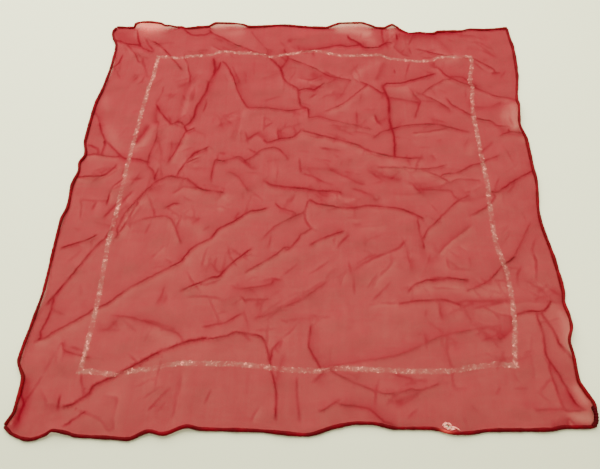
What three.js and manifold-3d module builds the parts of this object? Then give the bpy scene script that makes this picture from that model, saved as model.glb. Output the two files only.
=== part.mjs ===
// A square scarf of sheer woven cloth, laid out open on a flat surface and lightly rumpled.
// Millimetres. X runs along the near side, Y towards the far side, and Z is up.
// The cloth is one thin wall, and a fine rolled hem runs along each of its four sides.
import * as THREE from 'three';
import { mergeVertices } from 'three/addons/utils/BufferGeometryUtils.js';
import Module from 'manifold-3d';

// Driving dimensions
const scarfSide = 650;
const clothWall = 1.2;
const hemDiameter = 3;
const fitGap = 0.3;
const waveReach = 110; // how far in from a hem its waves in plan are felt
const liftReach = 58; // how far in from a hem a lifted stretch comes down again
const creaseFade = 34; // how far in from a hem a fold reaches its full height
const endShare = 0.35; // share of its rise that a fold keeps at its two ends
const endPower = 4; // how suddenly a fold falls off towards its ends
const sideHemSetback = 3 * fitGap; // how far the side hems stop short of the other two

// Fineness of the faceted form
const cellsPerSide = 44;
const hemFacets = 6;
const crestSamples = 14;

// Sizes that follow from those
const halfSide = scarfSide / 2;
const hemRadius = hemDiameter / 2;
const hemRise = hemRadius * Math.cos(Math.PI / hemFacets);
const panelHalf = halfSide - hemDiameter - fitGap;
const cell = 2 * panelHalf / cellsPerSide;
const crestPull = cell / 3;

// The four sides. at: place along the side from its middle, out: how far the hem lies outside
// the cut square, lift: how high the hem stands off the surface. Each row is a crest or a hollow.
const nearSide = [
  { at: -325, out: 5, lift: 0 },
  { at: -292, out: 17, lift: 0 },
  { at: -262, out: 7, lift: 4 },
  { at: -215, out: 13, lift: 0 },
  { at: -187, out: 13, lift: 0 },
  { at: -162, out: 5, lift: 2 },
  { at: -148, out: 8, lift: 2 },
  { at: -120, out: -1, lift: 3 },
  { at: -104, out: 3, lift: 0 },
  { at: -60, out: 1, lift: 0 },
  { at: 6, out: 6, lift: 0 },
  { at: 74, out: -9, lift: 4 },
  { at: 125, out: -2, lift: 0 },
  { at: 150, out: -2, lift: 0 },
  { at: 185, out: 2, lift: 0 },
  { at: 214, out: -4, lift: 1 },
  { at: 272, out: -3, lift: 0 },
  { at: 325, out: -7, lift: 0 },
];
const rightSide = [
  { at: -325, out: 1, lift: 0 },
  { at: -299, out: 4, lift: 1 },
  { at: -270, out: -4, lift: 0 },
  { at: -240, out: -8, lift: 2 },
  { at: -205, out: -5, lift: 7 },
  { at: -168, out: -5, lift: 0 },
  { at: -143, out: -3, lift: 0 },
  { at: -95, out: -6, lift: 0 },
  { at: -38, out: -13, lift: 0 },
  { at: 14, out: -8, lift: 3 },
  { at: 50, out: -9, lift: 0 },
  { at: 84, out: -9, lift: 0 },
  { at: 112, out: -17, lift: 4 },
  { at: 142, out: -14, lift: 6 },
  { at: 170, out: -9, lift: 0 },
  { at: 232, out: -1, lift: 0 },
  { at: 285, out: -1, lift: 0 },
  { at: 325, out: -5, lift: 0 },
];
const farSide = [
  { at: -325, out: 5, lift: 0 },
  { at: -303, out: 1, lift: 0 },
  { at: -272, out: 5, lift: 12 },
  { at: -207, out: 0, lift: 0 },
  { at: -176, out: 2, lift: 0 },
  { at: -150, out: 2, lift: 8 },
  { at: -116, out: 2, lift: 5 },
  { at: -97, out: 1, lift: 0 },
  { at: -42, out: 4, lift: 0 },
  { at: 26, out: -4, lift: 0 },
  { at: 60, out: 0, lift: 7 },
  { at: 84, out: 0, lift: 7 },
  { at: 114, out: -5, lift: 0 },
  { at: 136, out: -3, lift: 5 },
  { at: 164, out: -19, lift: 0 },
  { at: 198, out: -19, lift: 0 },
  { at: 258, out: -11, lift: 0 },
  { at: 325, out: -7, lift: 0 },
];
const leftSide = [
  { at: -325, out: 3, lift: 0 },
  { at: -298, out: -3, lift: 2 },
  { at: -240, out: 7, lift: 3 },
  { at: -160, out: -1, lift: 4 },
  { at: -104, out: 3, lift: 0 },
  { at: -54, out: 2, lift: 3 },
  { at: -20, out: -1, lift: 0 },
  { at: 4, out: 1, lift: 0 },
  { at: 22, out: -3, lift: 0 },
  { at: 44, out: -1, lift: 0 },
  { at: 59, out: -7, lift: 0 },
  { at: 86, out: -1, lift: 0 },
  { at: 148, out: -1, lift: 0 },
  { at: 205, out: -10, lift: 3 },
  { at: 250, out: -13, lift: 4 },
  { at: 278, out: -12, lift: 0 },
  { at: 308, out: -1, lift: 0 },
  { at: 325, out: -4, lift: 0 },
];

// The main folds. Each crest runs from, through and to a point in plan.
// rise: height of the crest over the cloth around it, spread: half the width of its foot.
const folds = [
  { from: [-286, 318], through: [-277, 292], to: [-252, 270], rise: 4, spread: 12 },
  { from: [-258, 297], through: [-230, 270], to: [-196, 230], rise: 5, spread: 13 },
  { from: [-163, 318], through: [-120, 288], to: [-62, 257], rise: 5, spread: 13 },
  { from: [-62, 257], through: [-42, 226], to: [-12, 182], rise: 6, spread: 14 },
  { from: [-12, 182], through: [-8, 152], to: [4, 127], rise: 4, spread: 11 },
  { from: [-98, 320], through: [-80, 292], to: [-62, 258], rise: 4, spread: 12 },
  { from: [-149, 256], through: [-154, 186], to: [-178, 111], rise: 7, spread: 14 },
  { from: [-137, 247], through: [-114, 206], to: [-98, 160], rise: 5, spread: 13 },
  { from: [-98, 158], through: [-58, 147], to: [2, 147], rise: 6, spread: 14 },
  { from: [-32, 254], through: [12, 229], to: [62, 206], rise: 5, spread: 13 },
  { from: [66, 206], through: [92, 194], to: [114, 177], rise: 4, spread: 12 },
  { from: [-14, 270], through: [40, 279], to: [84, 280], rise: 4, spread: 12 },
  { from: [64, 306], through: [88, 275], to: [133, 286], rise: 6, spread: 13 },
  { from: [170, 270], through: [199, 259], to: [226, 256], rise: 4, spread: 12 },
  { from: [255, 250], through: [270, 237], to: [287, 222], rise: 4, spread: 12 },
  { from: [115, 197], through: [160, 202], to: [200, 215], rise: 5, spread: 13 },
  { from: [115, 196], through: [124, 140], to: [127, 55], rise: 8, spread: 14 },
  { from: [201, 228], through: [228, 200], to: [286, 168], rise: 6, spread: 14 },
  { from: [206, 199], through: [178, 174], to: [211, 141], rise: 4, spread: 12 },
  { from: [207, 168], through: [240, 133], to: [300, 108], rise: 5, spread: 13 },
  { from: [82, 182], through: [54, 155], to: [27, 138], rise: 4, spread: 12 },
  { from: [5, 127], through: [48, 118], to: [96, 106], rise: 4, spread: 12 },
  { from: [96, 88], through: [145, 111], to: [234, 99], rise: 6, spread: 14 },
  { from: [12, 98], through: [66, 80], to: [110, 60], rise: 7, spread: 14 },
  { from: [110, 60], through: [138, 54], to: [169, 53], rise: 5, spread: 13 },
  { from: [-231, 160], through: [-212, 132], to: [-180, 117], rise: 5, spread: 13 },
  { from: [-180, 115], through: [-184, 78], to: [-195, 45], rise: 5, spread: 13 },
  { from: [-220, 120], through: [-222, 72], to: [-210, 15], rise: 5, spread: 13 },
  { from: [-310, 120], through: [-285, 75], to: [-257, 51], rise: 4, spread: 12 },
  { from: [-257, 51], through: [-240, 51], to: [-221, 43], rise: 4, spread: 12 },
  { from: [-135, 76], through: [-165, 54], to: [-177, 18], rise: 4, spread: 12 },
  { from: [-110, 46], through: [-86, 48], to: [-55, 70], rise: 5, spread: 13 },
  { from: [-57, 82], through: [-34, 90], to: [-6, 106], rise: 4, spread: 12 },
  { from: [-58, 17], through: [-24, 2], to: [52, -7], rise: 7, spread: 14 },
  { from: [8, -18], through: [62, -32], to: [159, -48], rise: 5, spread: 13 },
  { from: [115, 34], through: [155, 33], to: [202, 7], rise: 5, spread: 13 },
  { from: [227, -9], through: [190, -39], to: [158, -80], rise: 5, spread: 13 },
  { from: [257, -15], through: [222, -45], to: [172, -101], rise: 4, spread: 12 },
  { from: [306, 27], through: [281, 8], to: [253, -8], rise: 5, spread: 13 },
  { from: [-244, -60], through: [-224, -10], to: [-188, 21], rise: 8, spread: 14 },
  { from: [-188, 21], through: [-155, 11], to: [-110, -9], rise: 5, spread: 13 },
  { from: [-310, -163], through: [-283, -112], to: [-256, -60], rise: 5, spread: 13 },
  { from: [-312, -224], through: [-252, -180], to: [-186, -136], rise: 5, spread: 13 },
  { from: [-186, -136], through: [-150, -105], to: [-118, -74], rise: 5, spread: 13 },
  { from: [-118, -74], through: [-84, -47], to: [-46, -31], rise: 6, spread: 14 },
  { from: [-153, -159], through: [-104, -136], to: [-64, -94], rise: 6, spread: 14 },
  { from: [-72, -129], through: [-30, -101], to: [6, -68], rise: 5, spread: 13 },
  { from: [-268, -303], through: [-222, -270], to: [-165, -237], rise: 6, spread: 14 },
  { from: [-165, -237], through: [-125, -220], to: [-74, -211], rise: 7, spread: 14 },
  { from: [-74, -211], through: [-36, -236], to: [-23, -300], rise: 5, spread: 13 },
  { from: [12, -197], through: [15, -232], to: [28, -254], rise: 4, spread: 12 },
  { from: [30, -256], through: [100, -239], to: [176, -209], rise: 4, spread: 12 },
  { from: [41, -258], through: [98, -283], to: [164, -269], rise: 5, spread: 13 },
  { from: [131, -157], through: [160, -139], to: [210, -138], rise: 4, spread: 12 },
  { from: [204, -154], through: [242, -129], to: [280, -88], rise: 5, spread: 13 },
  { from: [121, -171], through: [168, -166], to: [250, -167], rise: 4, spread: 12 },
  { from: [238, -217], through: [256, -192], to: [302, -168], rise: 5, spread: 13 },
  { from: [284, -186], through: [286, -233], to: [308, -288], rise: 6, spread: 13 },
];

// The tear beside the near hem: how far each corner lies along and in from the hem
const tearMiddle = 168;
const tearRoot = 5; // how far the cut that makes it starts outside the cloth's edge
const tearCutHeight = 6 * clothWall;
const tearCorners = [
  { along: -8, inward: 3 },
  { along: -6, inward: 7 },
  { along: -1, inward: 8 },
  { along: 4, inward: 6 },
  { along: 9, inward: 3 },
];

const clothFinish = new THREE.MeshStandardMaterial({ color: 0xc35f58, roughness: 0.85, metalness: 0 });
const hemFinish = new THREE.MeshStandardMaterial({ color: 0x86060d, roughness: 0.6, metalness: 0 });

function eased(share) {
  const kept = THREE.MathUtils.clamp(share, 0, 1);
  return kept * kept * (3 - 2 * kept);
}

// A side's value between two of its rows, level at each row
function readSide(rows, at, column) {
  const after = rows.find((row) => row.at >= at);
  const before = rows[rows.indexOf(after) - 1] ?? after;
  const gap = after.at - before.at;
  const share = gap > 0 ? (at - before.at) / gap : 0;
  return THREE.MathUtils.lerp(before[column], after[column], eased(share));
}

// Where a point of the flat cut square lies in plan, once the hems have taken their waves
function planPoint(across, along) {
  const pull = (inset) => eased(1 - inset / waveReach);
  const x = across
    + pull(halfSide - across) * readSide(rightSide, along, 'out')
    - pull(halfSide + across) * readSide(leftSide, along, 'out');
  const y = along
    + pull(halfSide - along) * readSide(farSide, across, 'out')
    - pull(halfSide + along) * readSide(nearSide, across, 'out');
  return new THREE.Vector2(x, y);
}

// Height that the lifted stretches of hem give the cloth
function liftHeight(across, along) {
  const fall = (inset) => eased(1 - inset / liftReach);
  return Math.max(
    fall(panelHalf - across) * readSide(rightSide, along, 'lift'),
    fall(panelHalf + across) * readSide(leftSide, along, 'lift'),
    fall(panelHalf - along) * readSide(farSide, across, 'lift'),
    fall(panelHalf + along) * readSide(nearSide, across, 'lift'),
  );
}

const crests = folds.map((fold) => {
  const corners = [fold.from, fold.through, fold.to].map(([x, y]) => new THREE.Vector2(x, y));
  return { ...fold, points: new THREE.SplineCurve(corners).getPoints(crestSamples) };
});

// The nearest place on a crest, with how far along it that place is
function nearestOnCrest(crest, point) {
  const best = { distance: Infinity, share: 0, place: point };
  for (let i = 0; i < crestSamples; i += 1) {
    const start = crest.points[i];
    const run = crest.points[i + 1].clone().sub(start);
    const step = THREE.MathUtils.clamp(point.clone().sub(start).dot(run) / run.lengthSq(), 0, 1);
    const place = start.clone().addScaledVector(run, step);
    const distance = place.distanceTo(point);
    if (distance < best.distance) {
      Object.assign(best, { distance, place, share: (i + step) / crestSamples });
    }
  }
  return best;
}

// A fold is highest on its crest, comes down to its foot, and fades out at both ends
function foldHeight(crest, near) {
  const fullness = THREE.MathUtils.lerp(1, endShare, (2 * near.share - 1) ** endPower);
  return crest.rise * fullness * eased(1 - near.distance / crest.spread);
}

// A point of the underside of the cloth. Cloth close to a crest is drawn onto it.
function clothPoint(across, along) {
  const inset = panelHalf - Math.max(Math.abs(across), Math.abs(along));
  const fade = eased(inset / creaseFade);
  let place = planPoint(across, along);
  const readings = crests.map((crest) => ({ crest, near: nearestOnCrest(crest, place) }));
  readings.sort((a, b) => a.near.distance - b.near.distance);
  if (readings[0].near.distance < crestPull && inset > cell) {
    place = readings[0].near.place;
    readings[0].near.distance = 0;
  }
  const heights = readings.map(({ crest, near }) => foldHeight(crest, near) * fade);
  const height = Math.max(liftHeight(across, along), ...heights);
  return new THREE.Vector3(place.x, place.y, height);
}

const stations = Array.from({ length: cellsPerSide + 1 }, (_, i) => -panelHalf + i * cell);
const underside = stations.map((along) => stations.map((across) => clothPoint(across, along)));

// The wall between the underside and the same surface one cloth thickness higher.
// Each cell is split along its higher diagonal, so that a crest runs on unbroken.
function wallGeometry() {
  const rowLength = cellsPerSide + 1;
  const layer = rowLength * rowLength;
  const positions = [0, clothWall].flatMap((thickness) => (
    underside.flat().flatMap((p) => [p.x, p.y, p.z + thickness])));
  const heightOf = (vertex) => positions[3 * vertex + 2];
  const index = [];
  const addQuad = (a, b, c, d) => {
    if (heightOf(a) + heightOf(c) > heightOf(b) + heightOf(d)) {
      index.push(a, b, c, a, c, d);
    } else {
      index.push(a, b, d, b, c, d);
    }
  };
  for (let row = 0; row < cellsPerSide; row += 1) {
    for (let column = 0; column < cellsPerSide; column += 1) {
      const a = row * rowLength + column;
      const corners = [a, a + 1, a + 1 + rowLength, a + rowLength];
      addQuad(...corners.map((corner) => corner + layer));
      addQuad(...corners.toReversed());
    }
  }
  const last = cellsPerSide * rowLength;
  for (let i = 0; i < cellsPerSide; i += 1) {
    const rim = [
      [i, i + 1],
      [last + i + 1, last + i],
      [(i + 1) * rowLength, i * rowLength],
      [i * rowLength + cellsPerSide, (i + 1) * rowLength + cellsPerSide],
    ];
    rim.forEach(([start, end]) => addQuad(start, end, end + layer, start + layer));
  }
  const geometry = new THREE.BufferGeometry();
  geometry.setAttribute('position', new THREE.Float32BufferAttribute(positions, 3));
  geometry.setIndex(index);
  return geometry;
}

const wasm = await Module();
wasm.setup();

function asSolid(geometry) {
  return new wasm.Manifold(new wasm.Mesh({
    numProp: 3,
    vertProperties: new Float32Array(geometry.attributes.position.array),
    triVerts: new Uint32Array(geometry.index.array),
  }));
}

function asGeometry(solid) {
  const mesh = solid.getMesh();
  const geometry = new THREE.BufferGeometry();
  geometry.setAttribute('position', new THREE.Float32BufferAttribute(mesh.vertProperties, 3));
  geometry.setIndex(Array.from(mesh.triVerts));
  return geometry;
}

function closed(geometry) {
  geometry.deleteAttribute('normal');
  geometry.deleteAttribute('uv');
  return mergeVertices(geometry);
}

// The torn gap, cut from the cloth's edge inwards
function tearGeometry() {
  const edge = clothPoint(tearMiddle, -panelHalf);
  const corners = tearCorners.map(({ along, inward }) => (
    new THREE.Vector2(edge.x + along, edge.y + inward)));
  const root = [tearCorners.at(-1).along, tearCorners[0].along].map((along) => (
    new THREE.Vector2(edge.x + along, edge.y - tearRoot)));
  const outline = new THREE.Shape([...corners, ...root].toReversed());
  const cut = new THREE.ExtrudeGeometry(outline, { depth: tearCutHeight, bevelEnabled: false });
  cut.translate(0, 0, -clothWall);
  return closed(cut);
}

// The centre line of a hem: beside the cloth's edge, and clear of it by the gap all along.
// Travelling along an edge, the outside of the scarf is on the right-hand side.
function hemLine(edge, overhang) {
  const first = edge[0];
  const last = edge.at(-1);
  const beyond = (from, to) => to.clone().sub(from).setLength(overhang).add(to);
  const points = [beyond(edge[1], first), ...edge.slice(1, -1), beyond(edge.at(-2), last)];
  const headings = points.slice(1).map((point, i) => point.clone().sub(points[i]).setZ(0).normalize());
  return points.map((point, i) => {
    const before = headings[Math.max(i - 1, 0)];
    const after = headings[Math.min(i, headings.length - 1)];
    const heading = before.clone().add(after).normalize();
    const outward = new THREE.Vector3(heading.y, -heading.x, 0);
    const offset = (hemRadius + fitGap) / heading.dot(after);
    const centre = point.clone().addScaledVector(outward, offset);
    centre.z += hemRise;
    return { centre, outward };
  });
}

// A rolled hem: a cylinder whose rings are laid along the hem's centre line
function hemGeometry(line) {
  const rings = line.length - 1;
  const tube = new THREE.CylinderGeometry(hemRadius, hemRadius, 1, hemFacets, rings);
  const spots = tube.attributes.position;
  for (let i = 0; i < spots.count; i += 1) {
    const { centre, outward } = line[Math.round((spots.getY(i) + 0.5) * rings)];
    const sideways = spots.getZ(i);
    spots.setXYZ(
      i,
      centre.x + outward.x * sideways,
      centre.y + outward.y * sideways,
      centre.z - spots.getX(i),
    );
  }
  return closed(tube);
}

function namedMesh(name, geometry, finish) {
  const mesh = new THREE.Mesh(geometry, finish);
  mesh.name = name;
  return mesh;
}

const cornerReach = hemDiameter + fitGap;
const edges = {
  hem_near: { edge: underside[0], overhang: cornerReach },
  hem_right: { edge: underside.map((row) => row.at(-1)), overhang: -sideHemSetback },
  hem_far: { edge: underside.at(-1).toReversed(), overhang: cornerReach },
  hem_left: { edge: underside.map((row) => row[0]).toReversed(), overhang: -sideHemSetback },
};

const scarf = new THREE.Group();
const torn = asSolid(wallGeometry()).subtract(asSolid(tearGeometry()));
scarf.add(namedMesh('cloth_panel', asGeometry(torn), clothFinish));
for (const [name, { edge, overhang }] of Object.entries(edges)) {
  scarf.add(namedMesh(name, hemGeometry(hemLine(edge, overhang)), hemFinish));
}

// The origin stands on the surface below, under the middle of the scarf
const scarfBox = new THREE.Box3().setFromObject(scarf);
const middle = scarfBox.getCenter(new THREE.Vector3());
scarf.position.set(-middle.x, -middle.y, -scarfBox.min.z);

export default scarf;
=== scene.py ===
import math
import time

import bpy
import numpy as np
from mathutils import Matrix, Vector
from mathutils.geometry import delaunay_2d_cdt


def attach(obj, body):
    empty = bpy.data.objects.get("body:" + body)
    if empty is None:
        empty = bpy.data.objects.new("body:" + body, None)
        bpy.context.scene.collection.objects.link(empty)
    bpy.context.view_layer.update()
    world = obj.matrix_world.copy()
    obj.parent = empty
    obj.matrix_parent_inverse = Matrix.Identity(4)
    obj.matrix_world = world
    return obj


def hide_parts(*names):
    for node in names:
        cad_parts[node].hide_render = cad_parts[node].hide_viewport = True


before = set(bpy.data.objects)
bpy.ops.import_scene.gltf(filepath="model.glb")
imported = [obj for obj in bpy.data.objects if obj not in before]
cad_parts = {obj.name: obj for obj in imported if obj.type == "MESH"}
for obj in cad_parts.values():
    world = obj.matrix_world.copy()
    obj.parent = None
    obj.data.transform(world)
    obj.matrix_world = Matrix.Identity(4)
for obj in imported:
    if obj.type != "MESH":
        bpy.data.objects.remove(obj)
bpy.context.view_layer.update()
startTime = time.time()

# Tables are in millimetres, measured from the middle of the cut square: x along the near
# side, y towards the far side. Blender's meshes are in metres.
mm = 0.001
squareMiddle = np.array([1.8, 5.8, 0.0])  # where that middle lies in the frame
bodyName = "root"
sideNames = ("near", "right", "far", "left")

scarf = {
    "side": 650.0,         # the square as it was cut and hemmed
    "hemAcross": 3.0,      # the rolled hem that the cloth's edge ends in
    "borderInset": 72.5,   # from the cut edge to the middle of the printed border
    "restHeight": 0.3,     # of the cloth where it lies on the table
    "seed": 7,
}
halfSide = scarf["side"] / 2
hemRadius = scarf["hemAcross"] / 2


def stageDone(text):
    print(f"{text}: {time.time() - startTime:.1f} s")


def seededDice(seed):
    return np.random.default_rng(scarf["seed"] + seed)


def eased(share):
    kept = np.clip(share, 0.0, 1.0)
    return kept * kept * (3 - 2 * kept)


# A column of a table at any place along it: a smooth curve that is level at its highest and
# lowest rows and never strays beyond them
def readRows(rows, at, column):
    places = np.array([row[0] for row in rows], float)
    values = np.array([row[column] for row in rows], float)
    spans, rises = np.diff(places), np.diff(values)
    before, after = rises[:-1] / spans[:-1], rises[1:] / spans[1:]
    total = before + after
    level = (before * after <= 0) | (total == 0)
    slopes = np.zeros(len(places))
    slopes[1:-1] = np.where(level, 0, 2 * before * after / np.where(level, 1, total))
    at = np.clip(at, places[0], places[-1])
    row = np.clip(np.searchsorted(places, at) - 1, 0, len(places) - 2)
    share = (at - places[row]) / spans[row]
    square, cube = share ** 2, share ** 3
    lean = slopes[row] * (cube - 2 * square + share) + slopes[row + 1] * (cube - square)
    return values[row] + rises[row] * (3 * square - 2 * cube) + spans[row] * lean


# A smooth random field: the sum of many cosine waves, with a spread of 1
def waves(spots, shortest, longest, seed, count=48):
    dice = seededDice(seed)
    lengths = shortest * (longest / shortest) ** dice.random(count)
    turns = dice.uniform(0, 2 * math.pi, (2, count))
    total = np.zeros(len(spots))
    for length, heading, phase in zip(lengths, *turns):
        run = spots[:, 0] * math.cos(heading) + spots[:, 1] * math.sin(heading)
        total += np.cos(2 * math.pi * run / length + phase)
    return total / math.sqrt(count / 2)


# How far along a line each of its points lies
def runAlong(line):
    return np.concatenate([[0], np.cumsum(np.linalg.norm(np.diff(line, axis=0), axis=1))])


# A line through chosen points, with its bends rounded and its own points an even step apart
def smoothLine(points, step, bend=0.32, parts=8):
    spots = np.array(points, float)
    spots = np.vstack([2 * spots[0] - spots[1], spots, 2 * spots[-1] - spots[-2]])
    share = np.linspace(0, 1, parts + 1)[:-1, None]
    square, cube = share ** 2, share ** 3
    pieces = []
    for a, b, c, d in zip(spots, spots[1:], spots[2:], spots[3:]):
        pieces.append((2 * cube - 3 * square + 1) * b + (cube - 2 * square + share) * bend * (c - a)
                      + (3 * square - 2 * cube) * c + (cube - square) * bend * (d - b))
    dense = np.vstack(pieces + [spots[-2:-1]])
    run = runAlong(dense)
    stops = np.linspace(0, run[-1], max(3, int(round(run[-1] / step)) + 1))
    return np.stack([np.interp(stops, run, dense[:, 0]), np.interp(stops, run, dense[:, 1])], 1)


# The points of a charted line, from its start and the steps to each next point
def fromSteps(steps):
    return np.reshape(steps, (-1, 2)).cumsum(0)


# A smooth line through points that have a height too
def smoothCurve(points, step):
    flat = smoothLine([point[:2] for point in points], step)
    share = np.linspace(0, 1, len(flat))
    rise = np.interp(share, np.linspace(0, 1, len(points)), [point[2] for point in points])
    return np.column_stack([flat, rise])


# The way to the left of a line, at each of its points
def sideways(line):
    heading = np.gradient(line, axis=0)
    heading /= np.linalg.norm(heading, axis=1)[:, None]
    return np.stack([-heading[:, 1], heading[:, 0]], 1)


# Points joined by triangles, with the given lines between them kept
def joined(points, lines=()):
    found = delaunay_2d_cdt([Vector(p) for p in points.tolist()], list(lines), [], 0, 1e-5, False)
    return np.array([tuple(p) for p in found[0]]), np.array(found[2])


# The four sides. at: place along the side, out: how far the hem lies outside the cut square,
# lift: how high it stands off the table
sideRows = {
    "near": [
        (-325, 4.5, 0), (-312, 13, 0), (-292, 18.5, 0), (-274, 13.5, 2), (-266, 9, 4), (-250, 11, 2),
        (-240, 13.5, 0), (-202, 15, 0), (-187, 16, 0), (-162, 7.5, 2), (-148, 10, 2), (-120, 1.5, 3),
        (-106, 3.5, 0), (-46, 4, 0), (10, 7.5, 0), (44, -2, 0), (68, -6, 1), (82, -6, 1),
        (111, -1.5, 0), (146, -2, 0), (173, 3, 1), (190, 2, 0), (210, -1, 0), (276, -3, 0),
        (291, -6, 0), (314, -6.5, 0), (325, -9, 0),
    ],
    "right": [
        (-325, 2, 1), (-302, 3.5, 3), (-281, -3, 0), (-270, -7, 0), (-240, -8, 3), (-224, -10.5, 6),
        (-205, -5.5, 8), (-187, -4, 4), (-168, -5, 0), (-155, -3, 0), (-111, -5.5, 0), (-45, -13, 0),
        (15, -8.5, 3), (36, -8.5, 0), (84, -9, 0), (108, -16, 5), (142, -12.5, 7), (160, -11, 1),
        (215, -2.5, 0), (270, -0.5, 0), (297, -2.5, 0), (325, -3.5, 0),
    ],
    "far": [
        (-325, 5, 0), (-297, 3.5, 0), (-293, 5.5, 6), (-286, 6.5, 8), (-275, 3.5, 11), (-256, 3.5, 8),
        (-249, 1.5, 5.5), (-240, 3.5, 3), (-228, 2.5, 1), (-218, 3, 0), (-207, 0.5, 0), (-166, 4, 0),
        (-160, 2.5, 4), (-153, 4.5, 6), (-138, 5.5, 5), (-120, 5.5, 4), (-108, 4, 3), (-97, 2, 0),
        (-61, 4, 0), (-41, 5, 0), (-6, 0, 0), (27, -2.5, 0), (44, 0, 4), (53, 2, 5), (85, 2.5, 5),
        (96, -0.5, 4), (104, -2.5, 2), (111, -3.5, 0), (123, -5, 0), (129, -4.5, 3), (136, -2, 4),
        (142, -2.5, 1), (150, -10.5, 0), (164, -18.5, 0), (179, -17, 0), (190, -19, 0), (201, -19.5, 0),
        (208, -15.5, 0), (241, -14.5, 0), (258, -10, 0), (282, -11.5, 0), (325, -9, 0),
    ],
    "left": [
        (-325, 5, 0), (-304, -3, 2), (-264, -2, 0), (-241, 7.5, 3), (-200, 4.5, 1), (-159, -0.5, 4),
        (-105, 3, 0), (-80, 3.5, 0), (-54, 2, 3), (-30, -0.5, 0), (3, 1.5, 0), (30, -2.5, 0),
        (43, -0.5, 0), (58, -6, 0), (85, 0, 0), (149, -0.5, 0), (190, -7, 1), (234, -12.5, 4),
        (278, -9.5, 0), (304, 1, 0), (311, 2, 0), (325, -3, 0),
    ],
}

# How far the printed border wanders outwards from its own square
borderRows = {
    "near": [
        (-258, 10), (-240, 10), (-213, 13), (-200, 9.5), (-170, 5), (-135, -2), (-85, -2),
        (-53, 0), (-5, 4.5), (24, 5), (45, 1.5), (82, 2.5), (127, 4), (172, 3), (205, -2.5),
        (235, -6), (248, -4.5),
    ],
    "right": [
        (-250, -2.5), (-230, -0.5), (-200, 3), (-163, 5), (-135, 5), (-112, 1.5), (-80, -4),
        (-30, -4), (5, -2.5), (50, -4.5), (95, -5.5), (130, -7), (163, -5.5), (188, -2),
        (197, -4.5), (215, -1.5), (235, 2.5),
    ],
    "far": [
        (-237, 5.5), (-215, 3), (-190, 6.5), (-157, 8.5), (-140, 16.5), (-110, 13.5),
        (-78, 10.5), (-58, 3.5), (-40, 7.5), (15, 15.5), (30, 11.5), (57, 4.5), (112, 5.5),
        (130, -3), (150, -6.5), (175, -9.5), (195, -7.5), (205, -1), (235, -0.5),
    ],
    "left": [
        (-255, 4.5), (-240, 3), (-175, 0.5), (-140, 1.5), (-80, 3.5), (-50, 1.5), (35, 0.5),
        (95, -2), (135, -3.5), (165, -5.5), (195, -7.5), (212, -10.5), (240, -11.5),
    ],
}


# Where a point of the flat cut square lies on the table
def planPoint(flat):
    def pull(side, inset, at):
        edgeShare = eased(1 - inset / scarf["borderInset"])
        borderShare = eased(1 - abs(inset / scarf["borderInset"] - 1))
        return (edgeShare * readRows(sideRows[side], at, 1)
                + borderShare * readRows(borderRows[side], at, 1))

    x, y = flat[:, 0], flat[:, 1]
    return np.stack([
        x + pull("right", halfSide - x, y) - pull("left", halfSide + x, y),
        y + pull("far", halfSide - y, x) - pull("near", halfSide + y, x),
    ], 1)


# The other way round, by a few steps of trial and mending
def flatPoint(plan, rounds=12, share=0.8):
    flat = plan.copy()
    for _ in range(rounds):
        flat -= share * (planPoint(flat) - plan)
    return flat


# A point on a side's line, as far in from the cut edge as inset says
def sidePoint(side, at, inset):
    across = np.full(len(at), halfSide - inset)
    flat = {
        "near": (at, -across), "far": (at, across), "left": (-across, at), "right": (across, at),
    }[side]
    return planPoint(np.stack(flat, 1))


def placeObject(name, data):
    made = bpy.data.objects.new(name, data)
    bpy.context.scene.collection.objects.link(made)
    return made


camera = {
    "target": (-3.0, -73.7, 0.0),
    "distance": 803.4,
    "elevation": 58.91,
    "turn": 5.3,
    "roll": -4.305,
    "lens": 36.74,
    "sensor": 36.0,
    "clip": (0.01, 50.0),   # in metres
}


def cameraPlace():
    up, turn = math.radians(camera["elevation"]), math.radians(camera["turn"])
    back = Vector((math.sin(turn) * math.cos(up), -math.cos(turn) * math.cos(up), math.sin(up)))
    return Vector(camera["target"]) + back * camera["distance"], back


def makeCamera():
    place, back = cameraPlace()
    right = Vector((0, 0, 1)).cross(back).normalized()
    top = back.cross(right)
    data = bpy.data.cameras.new("photoCamera")
    data.lens = camera["lens"]
    data.sensor_width = camera["sensor"]
    data.sensor_fit = "HORIZONTAL"
    data.clip_start, data.clip_end = camera["clip"]
    axes = Matrix((right, top, back)).transposed().to_4x4()
    roll = Matrix.Rotation(math.radians(camera["roll"]), 4, "Z")
    made = placeObject("photoCamera", data)
    made.matrix_world = Matrix.Translation((Vector(squareMiddle) + place) * mm) @ axes @ roll
    bpy.context.scene.camera = made


makeCamera()


def newMaterial(name):
    made = bpy.data.materials.new(name)
    made.use_nodes = True
    made.node_tree.nodes.clear()
    return made, made.node_tree


# Links a value that differs from place to place, and sets one that doesn't
def feed(tree, socket, value):
    if isinstance(value, bpy.types.NodeSocket):
        tree.links.new(value, socket)
    else:
        socket.default_value = value


# A node with its settings, values and links in one call. Inputs go by name, or by number as i0.
def addNode(tree, kind, settings=None, **inputs):
    node = tree.nodes.new("ShaderNode" + kind)
    for key, value in (settings or {}).items():
        setattr(node, key, value)
    for key, value in inputs.items():
        numbered = key[0] == "i" and key[1:].isdigit()
        feed(tree, node.inputs[int(key[1:]) if numbered else key], value)
    return node


def maths(tree, operation, a, b=0.0, c=0.0, clamp=False):
    settings = {"operation": operation, "use_clamp": clamp}
    return addNode(tree, "Math", settings, i0=a, i1=b, i2=c).outputs[0]


def times(tree, a, b, clamp=False):
    return maths(tree, "MULTIPLY", a, b, clamp=clamp)


def plus(tree, a, b):
    return maths(tree, "ADD", a, b)


def minus(tree, a, b):
    return maths(tree, "SUBTRACT", a, b)


def timesPlus(tree, a, b, c):
    return maths(tree, "MULTIPLY_ADD", a, b, c)


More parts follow.
